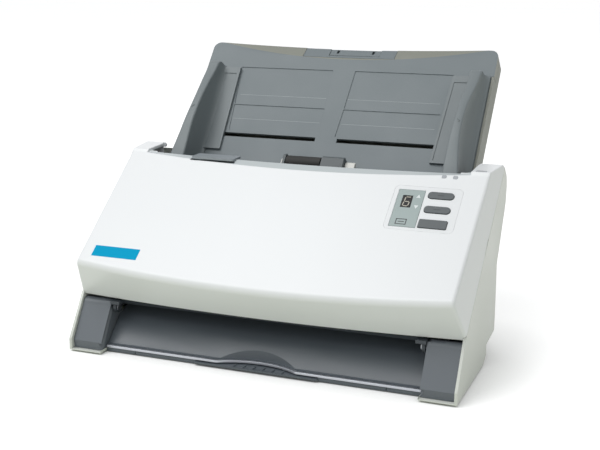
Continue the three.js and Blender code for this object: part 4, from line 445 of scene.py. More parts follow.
def finishMaterial(name, colour, roughness, spread=0.02, grain=1500, depth=0.04, wave=0.2, patch=18,
                   shineSpread=0.03, metallic=0.0, coat=0.0, specular=0.5, transmission=0.0):
    material = bpy.data.materials.new(name)
    material.use_nodes = True
    tree = material.node_tree
    where = madeNode(tree, "ShaderNodeTexCoord").outputs["Object"]
    light = linear(*colour)
    tone = madeNode(tree, "ShaderNodeGroup", {
        "Position": where, "Light": light, "Dark": tuple(c * (1 - 2 * spread) for c in light[:3]) + (1,),
        "Patch Scale": patch, "Shine Low": roughness - shineSpread, "Shine High": roughness + shineSpread,
    }, node_tree=toneNodes)
    relief = madeNode(tree, "ShaderNodeGroup", {
        "Position": where, "Grain Scale": grain, "Wave Share": wave,
    }, node_tree=grainNodes)
    bump = madeNode(tree, "ShaderNodeBump", {
        "Strength": depth, "Distance": surface["reliefDistance"], "Height": relief.outputs["Height"],
    })
    fillNode(tree, tree.nodes["Principled BSDF"], {
        "Base Color": tone.outputs["Color"], "Roughness": tone.outputs["Roughness"],
        "Normal": bump.outputs["Normal"], "Metallic": metallic, "Coat Weight": coat,
        "Coat Roughness": surface["coatRoughness"], "Specular IOR Level": specular,
        "Transmission Weight": transmission,
    })
    return material


finishes = {
    "white_cover": finishMaterial("glossWhite", (244, 246, 248), 0.3, spread=0.004, depth=0.006, grain=900,
                                  wave=0.1, shineSpread=0.01),
    "white_case": finishMaterial("satinWhite", (222, 225, 219), 0.36, spread=0.008, depth=0.03),
    "rear_grey": finishMaterial("rearGrey", (206, 208, 206), 0.5, depth=0.15),
    "chute_grey": finishMaterial("chuteGrey", (115, 124, 128), 0.5, spread=0.015, depth=0.18),
    "guide_grey": finishMaterial("guideGrey", (118, 126, 129), 0.45, spread=0.015, depth=0.16),
    "column_grey": finishMaterial("columnGrey", (105, 111, 118), 0.42, spread=0.015, depth=0.12),
    "frame_dark": finishMaterial("frameDark", (62, 68, 74), 0.5, spread=0.03, depth=0.15),
    "tray_dark": finishMaterial("trayDark", (90, 97, 104), 0.36, spread=0.02, depth=0.1),
    "silver_strip": finishMaterial("silverStrip", (196, 199, 206), 0.36, depth=0.05, metallic=0.8),
    "steel": finishMaterial("zincSteel", (176, 180, 184), 0.36, spread=0.08, depth=0.08, grain=600,
                            metallic=0.95),
    "roller_rubber": finishMaterial("rollerRubber", (35, 35, 34), 0.7, spread=0.1, depth=0.35, grain=1100),
    "foot_rubber": finishMaterial("footRubber", (44, 44, 46), 0.8, spread=0.08, depth=0.3, grain=900),
    "gear_nylon": finishMaterial("gearNylon", (232, 229, 216), 0.42, spread=0.03, depth=0.06),
    "board_green": finishMaterial("boardGreen", (32, 92, 58), 0.35, spread=0.12, depth=0.1, patch=160,
                                  grain=500),
    "socket_black": finishMaterial("socketBlack", (34, 34, 36), 0.5, spread=0.08, depth=0.15),
    "sensor_glass": finishMaterial("sensorGlass", (196, 212, 216), 0.08, depth=0.0, transmission=0.9),
    "bezel_white": finishMaterial("bezelWhite", (241, 243, 245), 0.3, spread=0.006, depth=0.02),
    "label_grey": finishMaterial("labelGrey", (166, 180, 179), 0.34, depth=0.03),
    "display_black": finishMaterial("displayBlack", (16, 17, 18), 0.3, spread=0.1, depth=0.0,
                                    specular=0.3),
    "button_grey": finishMaterial("buttonGrey", (87, 93, 96), 0.38, depth=0.08),
    "lamp_grey": finishMaterial("lampGrey", (176, 180, 186), 0.3, depth=0.02, coat=0.2),
    "clip_white": finishMaterial("clipWhite", (232, 232, 226), 0.4, depth=0.05),
}
markFinishes = {
    "blue": finishMaterial("labelBlue", (0, 168, 214), 0.5, spread=0.02, depth=0.02, specular=0.05),
    "pale": finishMaterial("markPale", (232, 238, 238), 0.4, depth=0.02),
    "dark": finishMaterial("markDark", (58, 62, 66), 0.45, depth=0.02),
    "segment": finishMaterial("segmentLit", (196, 192, 178), 0.4, depth=0.0),
    "lever": finishMaterial("leverGrey", (146, 153, 158), 0.4, spread=0.015, depth=0.1),
    # painted shade: the band behind the cover's upper edge gets this darker grey for the dark that it
    # reflects
    "rim": finishMaterial("rimPaintedShade", (196, 203, 205), 0.34, spread=0.01, depth=0.02),
    "holder": finishMaterial("holderGrey", (74, 82, 85), 0.45, spread=0.015, depth=0.1),
    "arrow": finishMaterial("arrowGrey", (92, 99, 101), 0.5, depth=0.1),
    # painted light on the chute's bevelled top edge, and the warmer grey of the chute's sides and rear cover
    "beige": finishMaterial("crescentBeigeAndPaintedLight", (134, 136, 127), 0.5, depth=0.15),
    # painted highlight: the fold lines are coloured lighter than the chute for the light along the creases
    "foldHighlight": finishMaterial("foldHighlight", (150, 158, 161), 0.45, depth=0.05),
}
slotOf = {entry["node"]: entry["material_slot"] for entry in frame["record"]["subparts"]}
bodyOf = {node: body for body, members in frame["record"]["behaviour"]["bodies"].items() for node in members}
print("materials ready:", len(finishes) + len(markFinishes))

# cover shell: bowed crease and flat sloping face between side facets that lean in
cover = {
    "halfWidth": 159, "frontY": 2.4, "frontZ": 73.8, "rearY": 101.7, "rearZ": 147.5, "lowY": 21, "lowZ": 42,
    "bowY": 7.8, "bowZ": 5.8, "lowBowY": 5.6, "lowBowZ": 1.4, "rimBowY": 5.8, "rimBowZ": 1.1,
    "bowHalfSpan": 154, "settling": 4, "tuck": 3,
    "wall": 2.6, "edgeDepth": 6, "edgeDrop": 1, "rearDrop": 22, "sideDraft": 10.5,
    "creaseRadius": 5.2, "creaseSteps": 10, "rimSteps": 5, "rimRadius": 0.7, "leastRadius": 0.05,
    "edgeRadius": 2.2, "edgeSteps": 6, "stations": 72, "stationReach": 134, "stationPast": 2,
    "chinHalf": 156.6, "chinWalls": 4, "footPast": 2, "hollowDrop": 4, "cutWalls": 2,
    "seamFrontY": 19, "seamFrontZ": 44, "seamRearY": 137, "seamRearZ": 147.6, "seamGap": 0.4, "overrun": 5,
    "wedgeStart": -0.5, "wedgeLength": 2,
}
ear = {
    "innerX": 139.6, "slant": 3, "frontY": 103, "frontZ": 149, "rearY": 134.4, "topZ": 150, "gap": 0.3,
    "slotLength": 8.4, "slotIn": 7.8, "slotY": (103.6, 108.2), "slotDepth": 3, "radius": 0.9,
    "roundLift": 1, "seamShare": 0.55, "lowWalls": 4, "endWalls": 2,
    "gussetRadius": 8, "gussetY": 103.7, "gussetSteps": 10, "gussetBand": 0.4, "gussetIn": 2,
    "gussetLow": 143, "gussetHigh": 147.4,
}
# where the cover's painted shade goes: the band behind the upper edge, and the insides of the ears
paintedShadeBands = {
    "low": 138, "upright": 0.84, "halfWidth": 139, "behind": 0.4,
    "earInset": 1.6, "earLift": 1, "earIn": 1.2, "earEnd": 129, "earDrop": 2.2,
}
lever = {"leftX": -96.2, "rightX": -57.4, "slotY": 96.1, "gap": 0.8}
panel = {
    "leftX": 85, "rightX": 138.4, "low": 62.6, "high": 106.6, "thickness": 1, "corner": 4, "gap": 0.12,
    "inset": 2.5,
    "lampX": 118.3, "lampPitch": 8.9, "lampLength": 3.6, "lampWidth": 3.2, "lampS": 118.4,
    "lampRound": 1 / 3,
}


def coverSection(x):
    bow = max(0, 1 - (x / cover["bowHalfSpan"]) ** 2)
    low = (cover["lowY"] - cover["lowBowY"] * bow, cover["lowZ"] - cover["lowBowZ"] * bow)
    crease = (cover["frontY"] - cover["bowY"] * bow, cover["frontZ"] - cover["bowZ"] * bow)
    upper = (cover["rearY"] - cover["bowY"] * bow, cover["rearZ"] - cover["bowZ"] * bow)
    rear = (cover["rearY"] + cover["edgeDepth"] - cover["rimBowY"] * bow,
            cover["rearZ"] - cover["edgeDrop"] - cover["rimBowZ"] * bow)
    return low, crease, upper, rear


def offsetOutline(points, distance):
    edges = []
    for start, end in zip(points, points[1:]):
        along = (Vector(end) - Vector(start)).normalized()
        side = Vector((-along.y, along.x)) * distance
        edges.append((Vector(start) + side, Vector(end) + side, along))
    corners = []
    for (a, _, u), (b, _, v) in zip(edges, edges[1:]):
        cross = u.x * v.y - u.y * v.x
        gap = b - a
        corners.append(a + u * ((gap.x * v.y - gap.y * v.x) / cross))
    return [tuple(p) for p in (edges[0][0], *corners, edges[-1][1])]


def coverOuterRing(x, inset=0):
    low, crease, upper, rear = coverSection(x)
    drop = (rear[0] + cover["edgeDrop"], rear[1] - cover["rearDrop"])
    corners = offsetOutline([low, crease, upper, rear, drop], -inset)
    rounds = (("creaseRadius", "creaseSteps"), ("wall", "rimSteps"), ("rimRadius", "rimSteps"))
    ring = [corners[0]]
    for i, (name, steps) in enumerate(rounds):
        radius = max(cover["leastRadius"], cover[name] - inset)
        ring += filletPoints(*corners[i:i + 3], radius, cover[steps])
    return [*ring, corners[-1]]


def coverInnerRing(x):
    low, crease, upper, rear = coverSection(x)
    drop = (rear[0], rear[1] - cover["rearDrop"])
    start, innerCrease, innerUpper = offsetOutline([low, crease, upper, rear, drop], -cover["wall"])[:3]
    down = Vector((low[0] - crease[0], low[1] - crease[1])).normalized()
    down *= cover["overrun"] * cover["footPast"]
    foot = (start[0] + down.x, start[1] + down.y)
    past = tuple(innerUpper[k] + (rear[k] - upper[k]) * cover["tuck"] for k in (0, 1))
    radius = cover["creaseRadius"] - cover["wall"]
    inner = filletPoints(foot, innerCrease, innerUpper, radius, cover["creaseSteps"])
    return [foot, *inner, innerUpper, past, (past[0], past[1] - cover["rearDrop"] * cover["hollowDrop"]),
            (foot[0] + cover["rearDrop"], foot[1] - cover["rearDrop"])]


def seamAngle():
    return math.atan2(cover["seamRearZ"] - cover["seamFrontZ"], cover["seamRearY"] - cover["seamFrontY"])


def seamPoint(share, above):
    # a place along the seam between cover and case, moved square to it
    length, rise = cover["seamRearY"] - cover["seamFrontY"], cover["seamRearZ"] - cover["seamFrontZ"]
    y = cover["seamFrontY"] + length * share - above * math.sin(seamAngle())
    z = cover["seamFrontZ"] + rise * share + above * math.cos(seamAngle())
    return y, z


def seamLift(y, z):
    startY, startZ = seamPoint(0, cover["seamGap"] / 2)
    return (z - startZ) * math.cos(seamAngle()) - (y - startY) * math.sin(seamAngle())


def sideLimit(y, z):
    return cover["halfWidth"] - seamLift(y, z) * math.tan(radians(cover["sideDraft"]))


def skinPoint(j, share, turn):
    # share runs from -1 to 1 between the rounded side edges, turn from 0 to 90 round one of them;
    # x and the side's lean depend on each other, so they settle in a few passes
    radius = cover["edgeRadius"]
    x = share * cover["stationReach"]
    for _ in range(cover["settling"]):
        spot = Vector(coverOuterRing(x, radius * (1 - math.cos(radians(turn))))[j])
        reach = sideLimit(spot.x, spot.y) - radius * (1 - math.sin(radians(turn)))
        x = share * reach
    return (x, spot.x, spot.y)


def coverSkin():
    count, steps = cover["stations"], cover["edgeSteps"]
    turns = [90 * i / steps for i in range(1, steps + 1)]
    columns = [(-1, turn) for turn in reversed(turns)]
    columns += [(2 * i / (count - 1) - 1, 0) for i in range(count)]
    columns += [(1, turn) for turn in turns]
    points = len(coverOuterRing(0))
    return gridSolid("skin", [[skinPoint(j, share, turn) for j in range(points)] for share, turn in columns])


def coverWedge(inset, below):
    lean = math.tan(radians(cover["sideDraft"]))
    top, half = cover["rearZ"], cover["halfWidth"] - inset
    length = (cover["seamRearY"] - cover["seamFrontY"]) * cover["wedgeLength"]
    topHalf = half - top * lean
    outline = [(-half, -below), (half, -below), (half, 0), (topHalf, top), (-topHalf, top), (-half, 0)]
    y, z = seamPoint(cover["wedgeStart"], cover["seamGap"] / 2)
    along = Vector((0, math.cos(seamAngle()), math.sin(seamAngle())))
    up = Vector((0, -math.sin(seamAngle()), math.cos(seamAngle())))
    return gridSolid("wedge", [[Vector((x, y, z)) + up * lift + along * reach for x, lift in outline]
                               for reach in (0, length)])


def coverStations():
    reach, count = cover["stationReach"], cover["stations"]
    inner = [reach * (2 * i / (count - 1) - 1) for i in range(count)]
    outer = cover["halfWidth"] + cover["stationPast"]
    return [-outer, *inner, outer]


def earBlock(inset, side):
    low, end = (seamPoint(share, cover["seamGap"] / 2) for share in (ear["seamShare"], 1))
    outline = [
        (cover["rearY"] - cover["edgeDepth"] + inset, cover["rearZ"] - cover["edgeDepth"] - inset),
        (ear["frontY"] + inset, ear["frontZ"] - inset), (ear["rearY"] - inset, ear["topZ"] - inset),
        (end[0] - inset * ear["endWalls"], end[1] - inset), (low[0], low[1] - inset * ear["lowWalls"]),
    ]
    inner = side * (ear["innerX"] - (ear["gap"] if inset else 0))
    outer = side * (cover["halfWidth"] - inset)
    blank = extruded(outline, min(inner, outer), max(inner, outer), "X")
    reach = cover["overrun"]
    cutter = extruded([(inner - side * reach, ear["rearY"] - reach), (inner, ear["rearY"] - reach),
                       (inner + side * ear["slant"], ear["rearY"]), (inner - side * reach, ear["rearY"])],
                      cover["frontZ"], ear["topZ"] + reach)
    return combined(blank, [cutter])


def earGusset(side):
    # the rounded corner between the rim and an ear
    radius, x, y = ear["gussetRadius"], ear["innerX"], ear["gussetY"]
    arc = arcPoints(x - radius, y + radius, radius, 0, -90, ear["gussetSteps"])
    front, behind = y - ear["gussetBand"], x + ear["gussetIn"]
    corners = [*arc, (x - radius, front), (behind, front), (behind, y + radius)]
    outline = [(side * a, b) for a, b in corners]
    return extruded(outline, ear["gussetLow"], ear["gussetHigh"])


def leverNotch():
    return block(lever["leftX"] - lever["gap"], lever["rightX"] + lever["gap"], lever["slotY"],
                 cover["rearY"] + cover["rearDrop"], cover["rearZ"] - cover["rearDrop"],
                 cover["rearZ"] + cover["overrun"])


def lidTool(tool):
    # a cutter drawn on the lid plane, moved to the case frame in millimetres
    tool.data.transform(caseMatrix().inverted() @ onLid)
    return tool


def lampHole(x):
    gap, width = panel["gap"], panel["lampWidth"]
    half = width / 2
    outline = roundedOutline(x - gap, x + panel["lampLength"] + gap, panel["lampS"] - half - gap,
                             panel["lampS"] + half + gap, width * panel["lampRound"])
    return lidTool(extruded(outline, -cover["cutWalls"] * cover["wall"], cover["overrun"]))


def buildCoverShell():
    reach, tuck, wall = cover["overrun"], cover["tuck"], cover["wall"]
    lowZ = cover["lowZ"] - cover["lowBowZ"] * tuck
    chinBox = extruded([
        (cover["lowY"] - cover["lowBowY"] * tuck, lowZ), (cover["lowY"] + wall * tuck, lowZ),
        (cover["frontY"] + wall * cover["chinWalls"], cover["frontZ"]),
        (cover["frontY"] - cover["bowY"] * tuck, cover["frontZ"]),
    ], -cover["chinHalf"], cover["chinHalf"], "X")
    keep = combined(coverWedge(-reach, 0), [chinBox], "UNION")
    shell = combined(coverSkin(), [keep], "INTERSECT")
    ears, earHollows = [], []
    for side in (-1, 1):
        blank = combined(earBlock(0, side), [coverWedge(0, 0)], "INTERSECT")
        ears.append(roundEdges(blank, ear["radius"],
                               lambda middle: seamLift(middle.y, middle.z) > ear["roundLift"]))
    combined(shell, [*ears, earGusset(-1), earGusset(1)], "UNION")
    inner = lofted(coverStations(), coverInnerRing)
    hollow = combined(inner, [coverWedge(wall, cover["rearZ"])], "INTERSECT")
    for side in (-1, 1):
        earHollows.append(combined(earBlock(wall, side), [coverWedge(wall, cover["rearZ"])], "INTERSECT"))
    gap, inset = panel["gap"], panel["inset"]
    pocketOutline = roundedOutline(panel["leftX"] - gap, panel["rightX"] + gap, panel["low"] - gap,
                                   panel["high"] + gap, panel["corner"] + gap)
    pocket = lidTool(extruded(pocketOutline, -panel["thickness"] - gap, reach))
    opening = lidTool(block(panel["leftX"] + inset, panel["rightX"] - inset, panel["low"] + inset,
                            panel["high"] - inset, -cover["cutWalls"] * wall, reach))
    slotX = ear["innerX"] + ear["slotIn"]
    earSlot = block(slotX - ear["slotLength"] / 2, slotX + ear["slotLength"] / 2,
                    *ear["slotY"], ear["topZ"] - ear["slotDepth"], ear["topZ"] + reach)
    lamps = [lampHole(panel["lampX"] + panel["lampPitch"] * i) for i in (0, 1)]
    combined(shell, [hollow, *earHollows, pocket, opening, *lamps, earSlot, leverNotch()])
    paintedShades = [coverPaintedShade(Vector(face.center), face.normal) for face in shell.data.polygons]
    finishPiece(shell, "coverShell", "cover_shell", None, onCase, ["cover_shell"])
    # painted shade: the darker grey goes on the band behind the upper edge
    shell.data.materials.append(markFinishes["rim"])
    # painted shade: the dark frame finish goes on the faces inside the ears, where the hollows lie in shadow
    shell.data.materials.append(finishes["frame_dark"])
    for face, tone in zip(shell.data.polygons, paintedShades):
        face.material_index = tone
    return shell


def coverPaintedShade(spot, normal):
    # 1 on the band behind the upper edge, painted shade in a darker grey for the dark that it reflects; 2
    # inside the ears, painted shade in the dark frame finish for their hollows; 0 elsewhere
    if abs(spot.x) > paintedShadeBands["halfWidth"]:
        reach = sideLimit(spot.y, spot.z) - abs(spot.x)
        across = reach > paintedShadeBands["earInset"] and abs(spot.x) > ear["innerX"] + paintedShadeBands["earIn"]
        along = paintedShadeBands["earEnd"] > spot.y > ear["frontY"]
        under = spot.z < ear["topZ"] - paintedShadeBands["earDrop"]
        return 2 if across and along and under and seamLift(spot.y, spot.z) > paintedShadeBands["earLift"] else 0
    upper = coverSection(spot.x)[2]
    level = spot.z > paintedShadeBands["low"] and normal.z > paintedShadeBands["upright"]
    return 1 if level and spot.y > upper[0] + paintedShadeBands["behind"] else 0


coverShell = buildCoverShell()
print("cover shell:", len(coverShell.data.polygons), "faces")

# pieces that keep their CAD shape get softened edges, by this many millimetres
softened = {
    "lower_case": 0.5, "rear_cover": 0.6, "output_tray": 0.4, "tray_extension": 0.3,
    "left_end_column": 0.5, "right_end_column": 0.5, "paper_chute": 0.3, "chute_rear_cover": 0.8,
    "chute_extension": 0.2, "stop_flap": 0.2,
    "separation_holder": 0.3, "holder_clip_left": 0.3, "holder_clip_right": 0.3, "release_lever": 0.5,
    "panel_bezel": 0.15, "label_plate": 0.08, "up_button": 0.4, "down_button": 0.4, "scan_button": 0.3,
    "power_lamp": 0.2, "status_lamp": 0.2, "cover_inner_frame": 0.3,
    "lower_paper_guide": 0.3, "drive_motor": 0.4, "feed_roller": 0.3, "exit_roller": 0.3, "pick_roller": 0.3,
    "feed_pinch_roller": 0.3, "exit_pinch_roller": 0.3, "separation_roller": 0.4,
    "left_frame_plate": 0.2, "right_frame_plate": 0.2, "front_foot_left": 0.2, "front_foot_right": 0.2,
    "rear_foot_left": 0.2, "rear_foot_right": 0.2, "power_inlet": 0.2, "usb_socket": 0.1,
    "switch_housing": 0.2, "power_switch": 0.3,
}
ownFinish = {"release_lever": "lever", "separation_holder": "holder", "chute_rear_cover": "beige"}


def camel(node):
    first, *rest = node.split("_")
    return first + "".join(word.title() for word in rest)


def buildSoftened():
    for node, width in softened.items():
        piece = softEdges(copyOfNode(node, camel(node)), width * planes["millimetre"])
        material = markFinishes[ownFinish[node]] if node in ownFinish else None
        finishPiece(piece, camel(node), node, material, None, [node])


crescent = {
    "node": "paper_chute", "edge": 81.7, "rise": 11.6, "halfSpan": 111, "before": 0.3, "tilt": (0.5, 0.99),
    "sideX": 132.4, "sideways": 0.7,
}


def paintCrescentLightAndSides():
    # the bevelled top edge gets a lighter, warmer grey, painted light for the light it catches facing more
    # upward; the sides of the chute get the same warmer grey
    mesh = bpy.data.objects[camel(crescent["node"])].data
    mesh.materials.append(markFinishes["beige"])
    back = onPaper.inverted()
    turn = back.to_3x3().normalized()
    steepest, flattest = crescent["tilt"]
    for face in mesh.polygons:
        spot, normal = back @ face.center, turn @ face.normal
        edge = crescent["edge"] + crescent["rise"] * (spot.x / crescent["halfSpan"]) ** 2
        bevel = spot.y > edge - crescent["before"] and steepest < normal.z < flattest
        if bevel or (abs(spot.x) > crescent["sideX"] and abs(normal.x) > crescent["sideways"]):
            face.material_index = 1


buildSoftened()
paintCrescentLightAndSides()
print("softened pieces:", len(softened))

# paper guides: a dished base plate and a tall fin whose crest dips towards the top; each row is a place
# along the paper plane, the crest's height, and how far the crest's two edges and the foot lie inside "half"
guide = {
    "rows": [
        (-42, 25.9, 19.9, 6.6, 22.9), (-35, 26.7, 19.9, 7.6, 23.4), (-28, 27.3, 19.8, 8.6, 24),
        (-18, 28.2, 19.6, 9.9, 24.6), (-8, 28.8, 19.4, 10.8, 25), (2, 28.2, 19.2, 11.3, 25.2),
        (12, 26.9, 18.9, 11.5, 25.2), (22, 25, 18.6, 11.3, 25.2), (32, 22.4, 18.2, 10.6, 24.8),
        (42, 19.3, 17.8, 9.5, 24.2), (52, 16.1, 17.7, 8.6, 23.2), (60, 14.3, 17.8, 8, 22.2),
        (64.6, 13.3, 17.9, 7.8, 21.7), (67.2, 11.3, 17.9, 7.8, 21), (68.5, 8, 17.8, 8, 20.4),
        (69, 3.6, 17.6, 8.2, 19.7),
    ],
    "half": 133.2, "outerFoot": 130.5, "low": 0.3, "rise": 2.4, "innerX": (94.7, 98.6), "endS": (-19.2, 67.4),
    "plateFarX": 114.5, "topSlope": 3, "dishInset": 2.2, "dishSink": 0.55, "dishTop": 5, "stations": 90,
    "spacing": 1.5, "sideSteps": 8, "crestRound": 1.5, "crestSteps": 5, "crown": 0.35, "fullCrown": 12,
    "underRise": 0.1,
}
guideArrow = {"s": 6.5, "in": 15, "reach": 1.9, "width": 0.55, "lean": 0.6, "sunk": 0.6, "proud": 0.12}


def guideRow(s):
    # the fin's measures at any place, smoothly between the rows
    rows = guide["rows"]
    i = max(k for k in range(len(rows) - 1) if rows[k][0] <= s or k == 0)
    step = rows[i + 1][0] - rows[i][0]
    t = (s - rows[i][0]) / step

    def slope(k, column):
        a, b = max(0, k - 1), min(len(rows) - 1, k + 1)
        return (rows[b][column] - rows[a][column]) / (rows[b][0] - rows[a][0])
    return [(2 * t ** 3 - 3 * t ** 2 + 1) * rows[i][c] + (t ** 3 - 2 * t ** 2 + t) * step * slope(i, c)
            + (3 * t ** 2 - 2 * t ** 3) * rows[i + 1][c] + (t ** 3 - t ** 2) * step * slope(i + 1, c)
            for c in range(1, 5)]


def saggingSide(start, towards, end):
    steps = guide["sideSteps"]
    return [tuple((1 - t) ** 2 * start[k] + 2 * t * (1 - t) * towards[k] + t ** 2 * end[k] for k in (0, 1))
            for t in (i / steps for i in range(steps + 1))]


def finRing(s):
    height, *insets = guideRow(s)
    inner, outer, foot = (guide["half"] - inset for inset in insets)
    radius = min(guide["crestRound"], height / 3)
    low, rise, last = guide["low"], guide["rise"], guide["outerFoot"]
    ring = [(foot, low), *saggingSide((foot, rise / 2), (inner, rise), (inner, height - radius))]
    ring += arcPoints(inner + radius, height - radius, radius, 180, 90, guide["crestSteps"])[1:]
    ring.append(((inner + outer) / 2, height + guide["crown"] * min(1, height / guide["fullCrown"])))
    ring += arcPoints(outer - radius, height - radius, radius, 90, 0, guide["crestSteps"])
    ring += saggingSide((outer, height - radius), (outer, rise), (last, rise / 2))[1:]
    return [*ring, (last, low)]


def guidePlate(inset):
    (lowX, topX), (lowS, topS) = guide["innerX"], guide["endS"]
    far, high = guide["plateFarX"], topS - inset * guide["topSlope"]
    return [(lowX + inset, lowS + inset), (far, lowS + inset), (far, high), (topX + inset, high)]


def turnedOver(piece, side):
    if side < 0:
        piece.data.transform(Matrix.Scale(-1, 4, (1, 0, 0)))
        reworkMesh(piece.data, turnOutwards)
    return piece


def buildGuideArrow(node, side):
    # a small chevron on the crest that points outwards
    s, size, width = guideArrow["s"], guideArrow["reach"], guideArrow["width"]
    x, lean = guide["half"] - guideArrow["in"], size * guideArrow["lean"]
    height = guideRow(s)[0] + guide["crown"]
    strokes = [extruded([(x - lean, s + way * size), (x - lean + width, s + way * size),
                         (x + lean + width, s), (x + lean, s)],
                        height - guideArrow["sunk"], height + guideArrow["proud"]) for way in (-1, 1)]
    mark = turnedOver(joinPieces(strokes, "arrow"), side)
    finishPiece(mark, camel(node) + "Arrow", node, markFinishes["arrow"], onPaper)


def buildGuide(node, side):
    first, last = guide["rows"][0][0], guide["rows"][-1][0]
    steps = guide["stations"] - 1
    places = [first + (last - first) * (1 - (1 - i / steps) ** guide["spacing"]) for i in range(steps + 1)]
    fin = gridSolid("fin", [[(x, s, h) for x, h in finRing(s)] for s in places])
    plate = extruded(guidePlate(0), guide["low"], guide["rise"])
    dishFloor, dishTop = guide["rise"] - guide["dishSink"], guide["rise"] + guide["dishTop"]
    dish = extruded(guidePlate(guide["dishInset"]), dishFloor, dishTop)
    upper = turnedOver(combined(combined(plate, [dish]), [fin], "UNION"), side)
    under = copyOfNode(node, "under")
    under.data.transform(onPaper.inverted())
    reach = guide["half"] * 2
    combined(under, [block(-reach, reach, -reach, reach, guide["low"] + guide["underRise"], reach)])
    buildGuideArrow(node, side)
    finishPiece(joinPieces([upper, under], camel(node)), camel(node), node, None, onPaper, [node])


for guideNode, guideSide in (("left_paper_guide", -1), ("right_paper_guide", 1)):
    buildGuide(guideNode, guideSide)
print("paper guides ready")

# silver strip on the tray's front edge, which steps back round the finger scoop
lipStrip = {
    "Half Length": 130.0, "Scoop Half": 33.0, "Scoop Depth": 8.4,
    "Width": 2.7, "Height": 1.9, "Corner": 0.25, "Count": 401,
}
lipPlace = {"y": 7.95, "z": 4.6}
lipBars = {
    "drawer": ((50.5, 104), (6.9, 13.6), (0.5, 3.3)), "fixed": ((104.4, 130), (6.9, 9.9), (0.5, 3.45)),
    "round": 0.3,
}


def buildLipStrip():
    strip = grown(lipTree("lipStrip", finishes["silver_strip"], lipStrip), lipStrip)
    strip.data.transform(Matrix.Translation((0, lipPlace["y"], lipPlace["z"])))
    finishPiece(strip, "lipStrip", "tray_lip_strip", None, onCase, ["tray_lip_strip"])


def lipBar(name, node, spanX, spanY, spanZ):
    # the dark band under the silver strip, one stretch at each side
    near, far = spanX
    bars = [roundEdges(block(*ends, *spanY, *spanZ), lipBars["round"])
            for ends in ((near, far), (-far, -near))]
    finishPiece(joinPieces(bars, name), name, node, None, onCase)


buildLipStrip()
lipBar("drawerLip", "tray_extension", *lipBars["drawer"])
lipBar("trayLip", "output_tray", *lipBars["fixed"])
print("lip strip ready")

# two faint raised lines across each of the chute's sunk panels, coloured lighter as a painted highlight along
# the creases
foldLines = {
    "low": 14.6, "high": 40, "top": -0.55, "innerX": 9.9, "outerX": 92.2, "width": 0.5, "height": 0.3,
    "corner": 0.1,
}


def buildFoldLines():
    middle = (foldLines["outerX"] + foldLines["innerX"]) / 2
    low, sink = foldLines["low"], foldLines["top"] - foldLines["height"] / 2
    values = {
        "Count": 2, "Pitch": foldLines["high"] - low, "Length": foldLines["outerX"] - foldLines["innerX"],
        "Width": foldLines["width"], "Height": foldLines["height"], "Corner": foldLines["corner"],
    }
    tree = barRowTree("foldLines", markFinishes["foldHighlight"], values)
    parts = []
    for side in (-1, 1):
        pair = grown(tree, values)
        place = Matrix.Translation((side * middle, low, sink))
        pair.data.transform(place @ Matrix.Rotation(radians(90), 4, "Z"))
        parts.append(pair)
    joined = joinPieces(parts, "foldLines")
    finishPiece(joined, "foldLines", "paper_chute", markFinishes["foldHighlight"], onPaper)


buildFoldLines()

# marks on the panel, the display and the cover
marks = {
    "upX": 105.2, "upS": 96.6, "downX": 105.4, "downS": 85.6, "arrow": 1.7, "labelTop": 0.1, "lift": 0.06,
    "dashX": 122.2, "dashS": (98.4, 84.2), "dashHalf": 2.6, "dashWidth": 0.5, "dashRound": 0.9,
    "dashSunk": 0.1, "dashProud": 0.05,
    "blueX": (-142, -102), "blueS": (7.8, 18.4), "blueLift": 0.12, "blueCorner": 0.3,
}
sheet = {"x": 93.2, "s": 67.6, "width": 8.4, "height": 5.6, "line": 0.7, "margin": 1.8}
figure = {
    "left": 94.9, "right": 99.1, "low": 86.2, "middle": 90.6, "high": 95.2, "half": 0.36, "lean": 0.12,
    "trim": 1.3, "shift": 0.4, "bottom": -0.16, "top": -0.02,
}


def triangle(x, s, reach, way):
    return [(x - reach, s - way * reach), (x + reach, s - way * reach), (x, s + way * reach)]


def finishMark(parts, name, node, material):
    finishPiece(joinPieces(parts, name), name, node, markFinishes[material], onLid)


def buildPanelMarks():
    low, high = marks["labelTop"] - marks["lift"], marks["labelTop"] + marks["lift"]
    arrows = [extruded(triangle(marks["upX"], marks["upS"], marks["arrow"], 1), low, high),
              extruded(triangle(marks["downX"], marks["downS"], marks["arrow"], -1), low, high)]
    finishMark(arrows, "panelArrows", "label_plate", "pale")
    # a small sheet symbol under the window
    x0, s0, line, margin = sheet["x"], sheet["s"], sheet["line"], sheet["margin"]
    x1, s1, middle = x0 + sheet["width"], s0 + sheet["height"], s0 + sheet["height"] / 2
    bars = [(x0, x1, s0, s0 + line), (x0, x1, s1 - line, s1),
            (x0, x0 + line, s0, s1), (x1 - line, x1, s0, s1),
            (x0 + margin, x1 - margin, middle - line / 2, middle + line / 2)]
    finishMark([block(*bar, low, high) for bar in bars], "panelSheetMark", "label_plate", "dark")


def buildDigit():
    # a seven-segment figure six, leaning like the display's own
    left, right = figure["left"], figure["right"]
    low, middle, high = figure["low"], figure["middle"], figure["high"]
    half, trim = figure["half"], figure["half"] * figure["trim"]
    runs = [((left, high), (right, high)), ((left, middle), (right, middle)), ((left, low), (right, low)),
            ((left, low), (left, middle)), ((left, middle), (left, high)), ((right, low), (right, middle))]
    segments = []
    for (x0, s0), (x1, s1) in runs:
        inX, inS = (trim, -half) if s0 == s1 else (-half, trim)
        outline = [(x0 + inX, s0 + inS), (x1 - inX, s0 + inS), (x1 - inX, s1 - inS), (x0 + inX, s1 - inS)]
        outline = [(x + (s - low) * figure["lean"] - figure["shift"], s) for x, s in outline]
        segments.append(extruded(outline, figure["bottom"], figure["top"]))
    finishMark(segments, "displayFigure", "display_window", "segment")


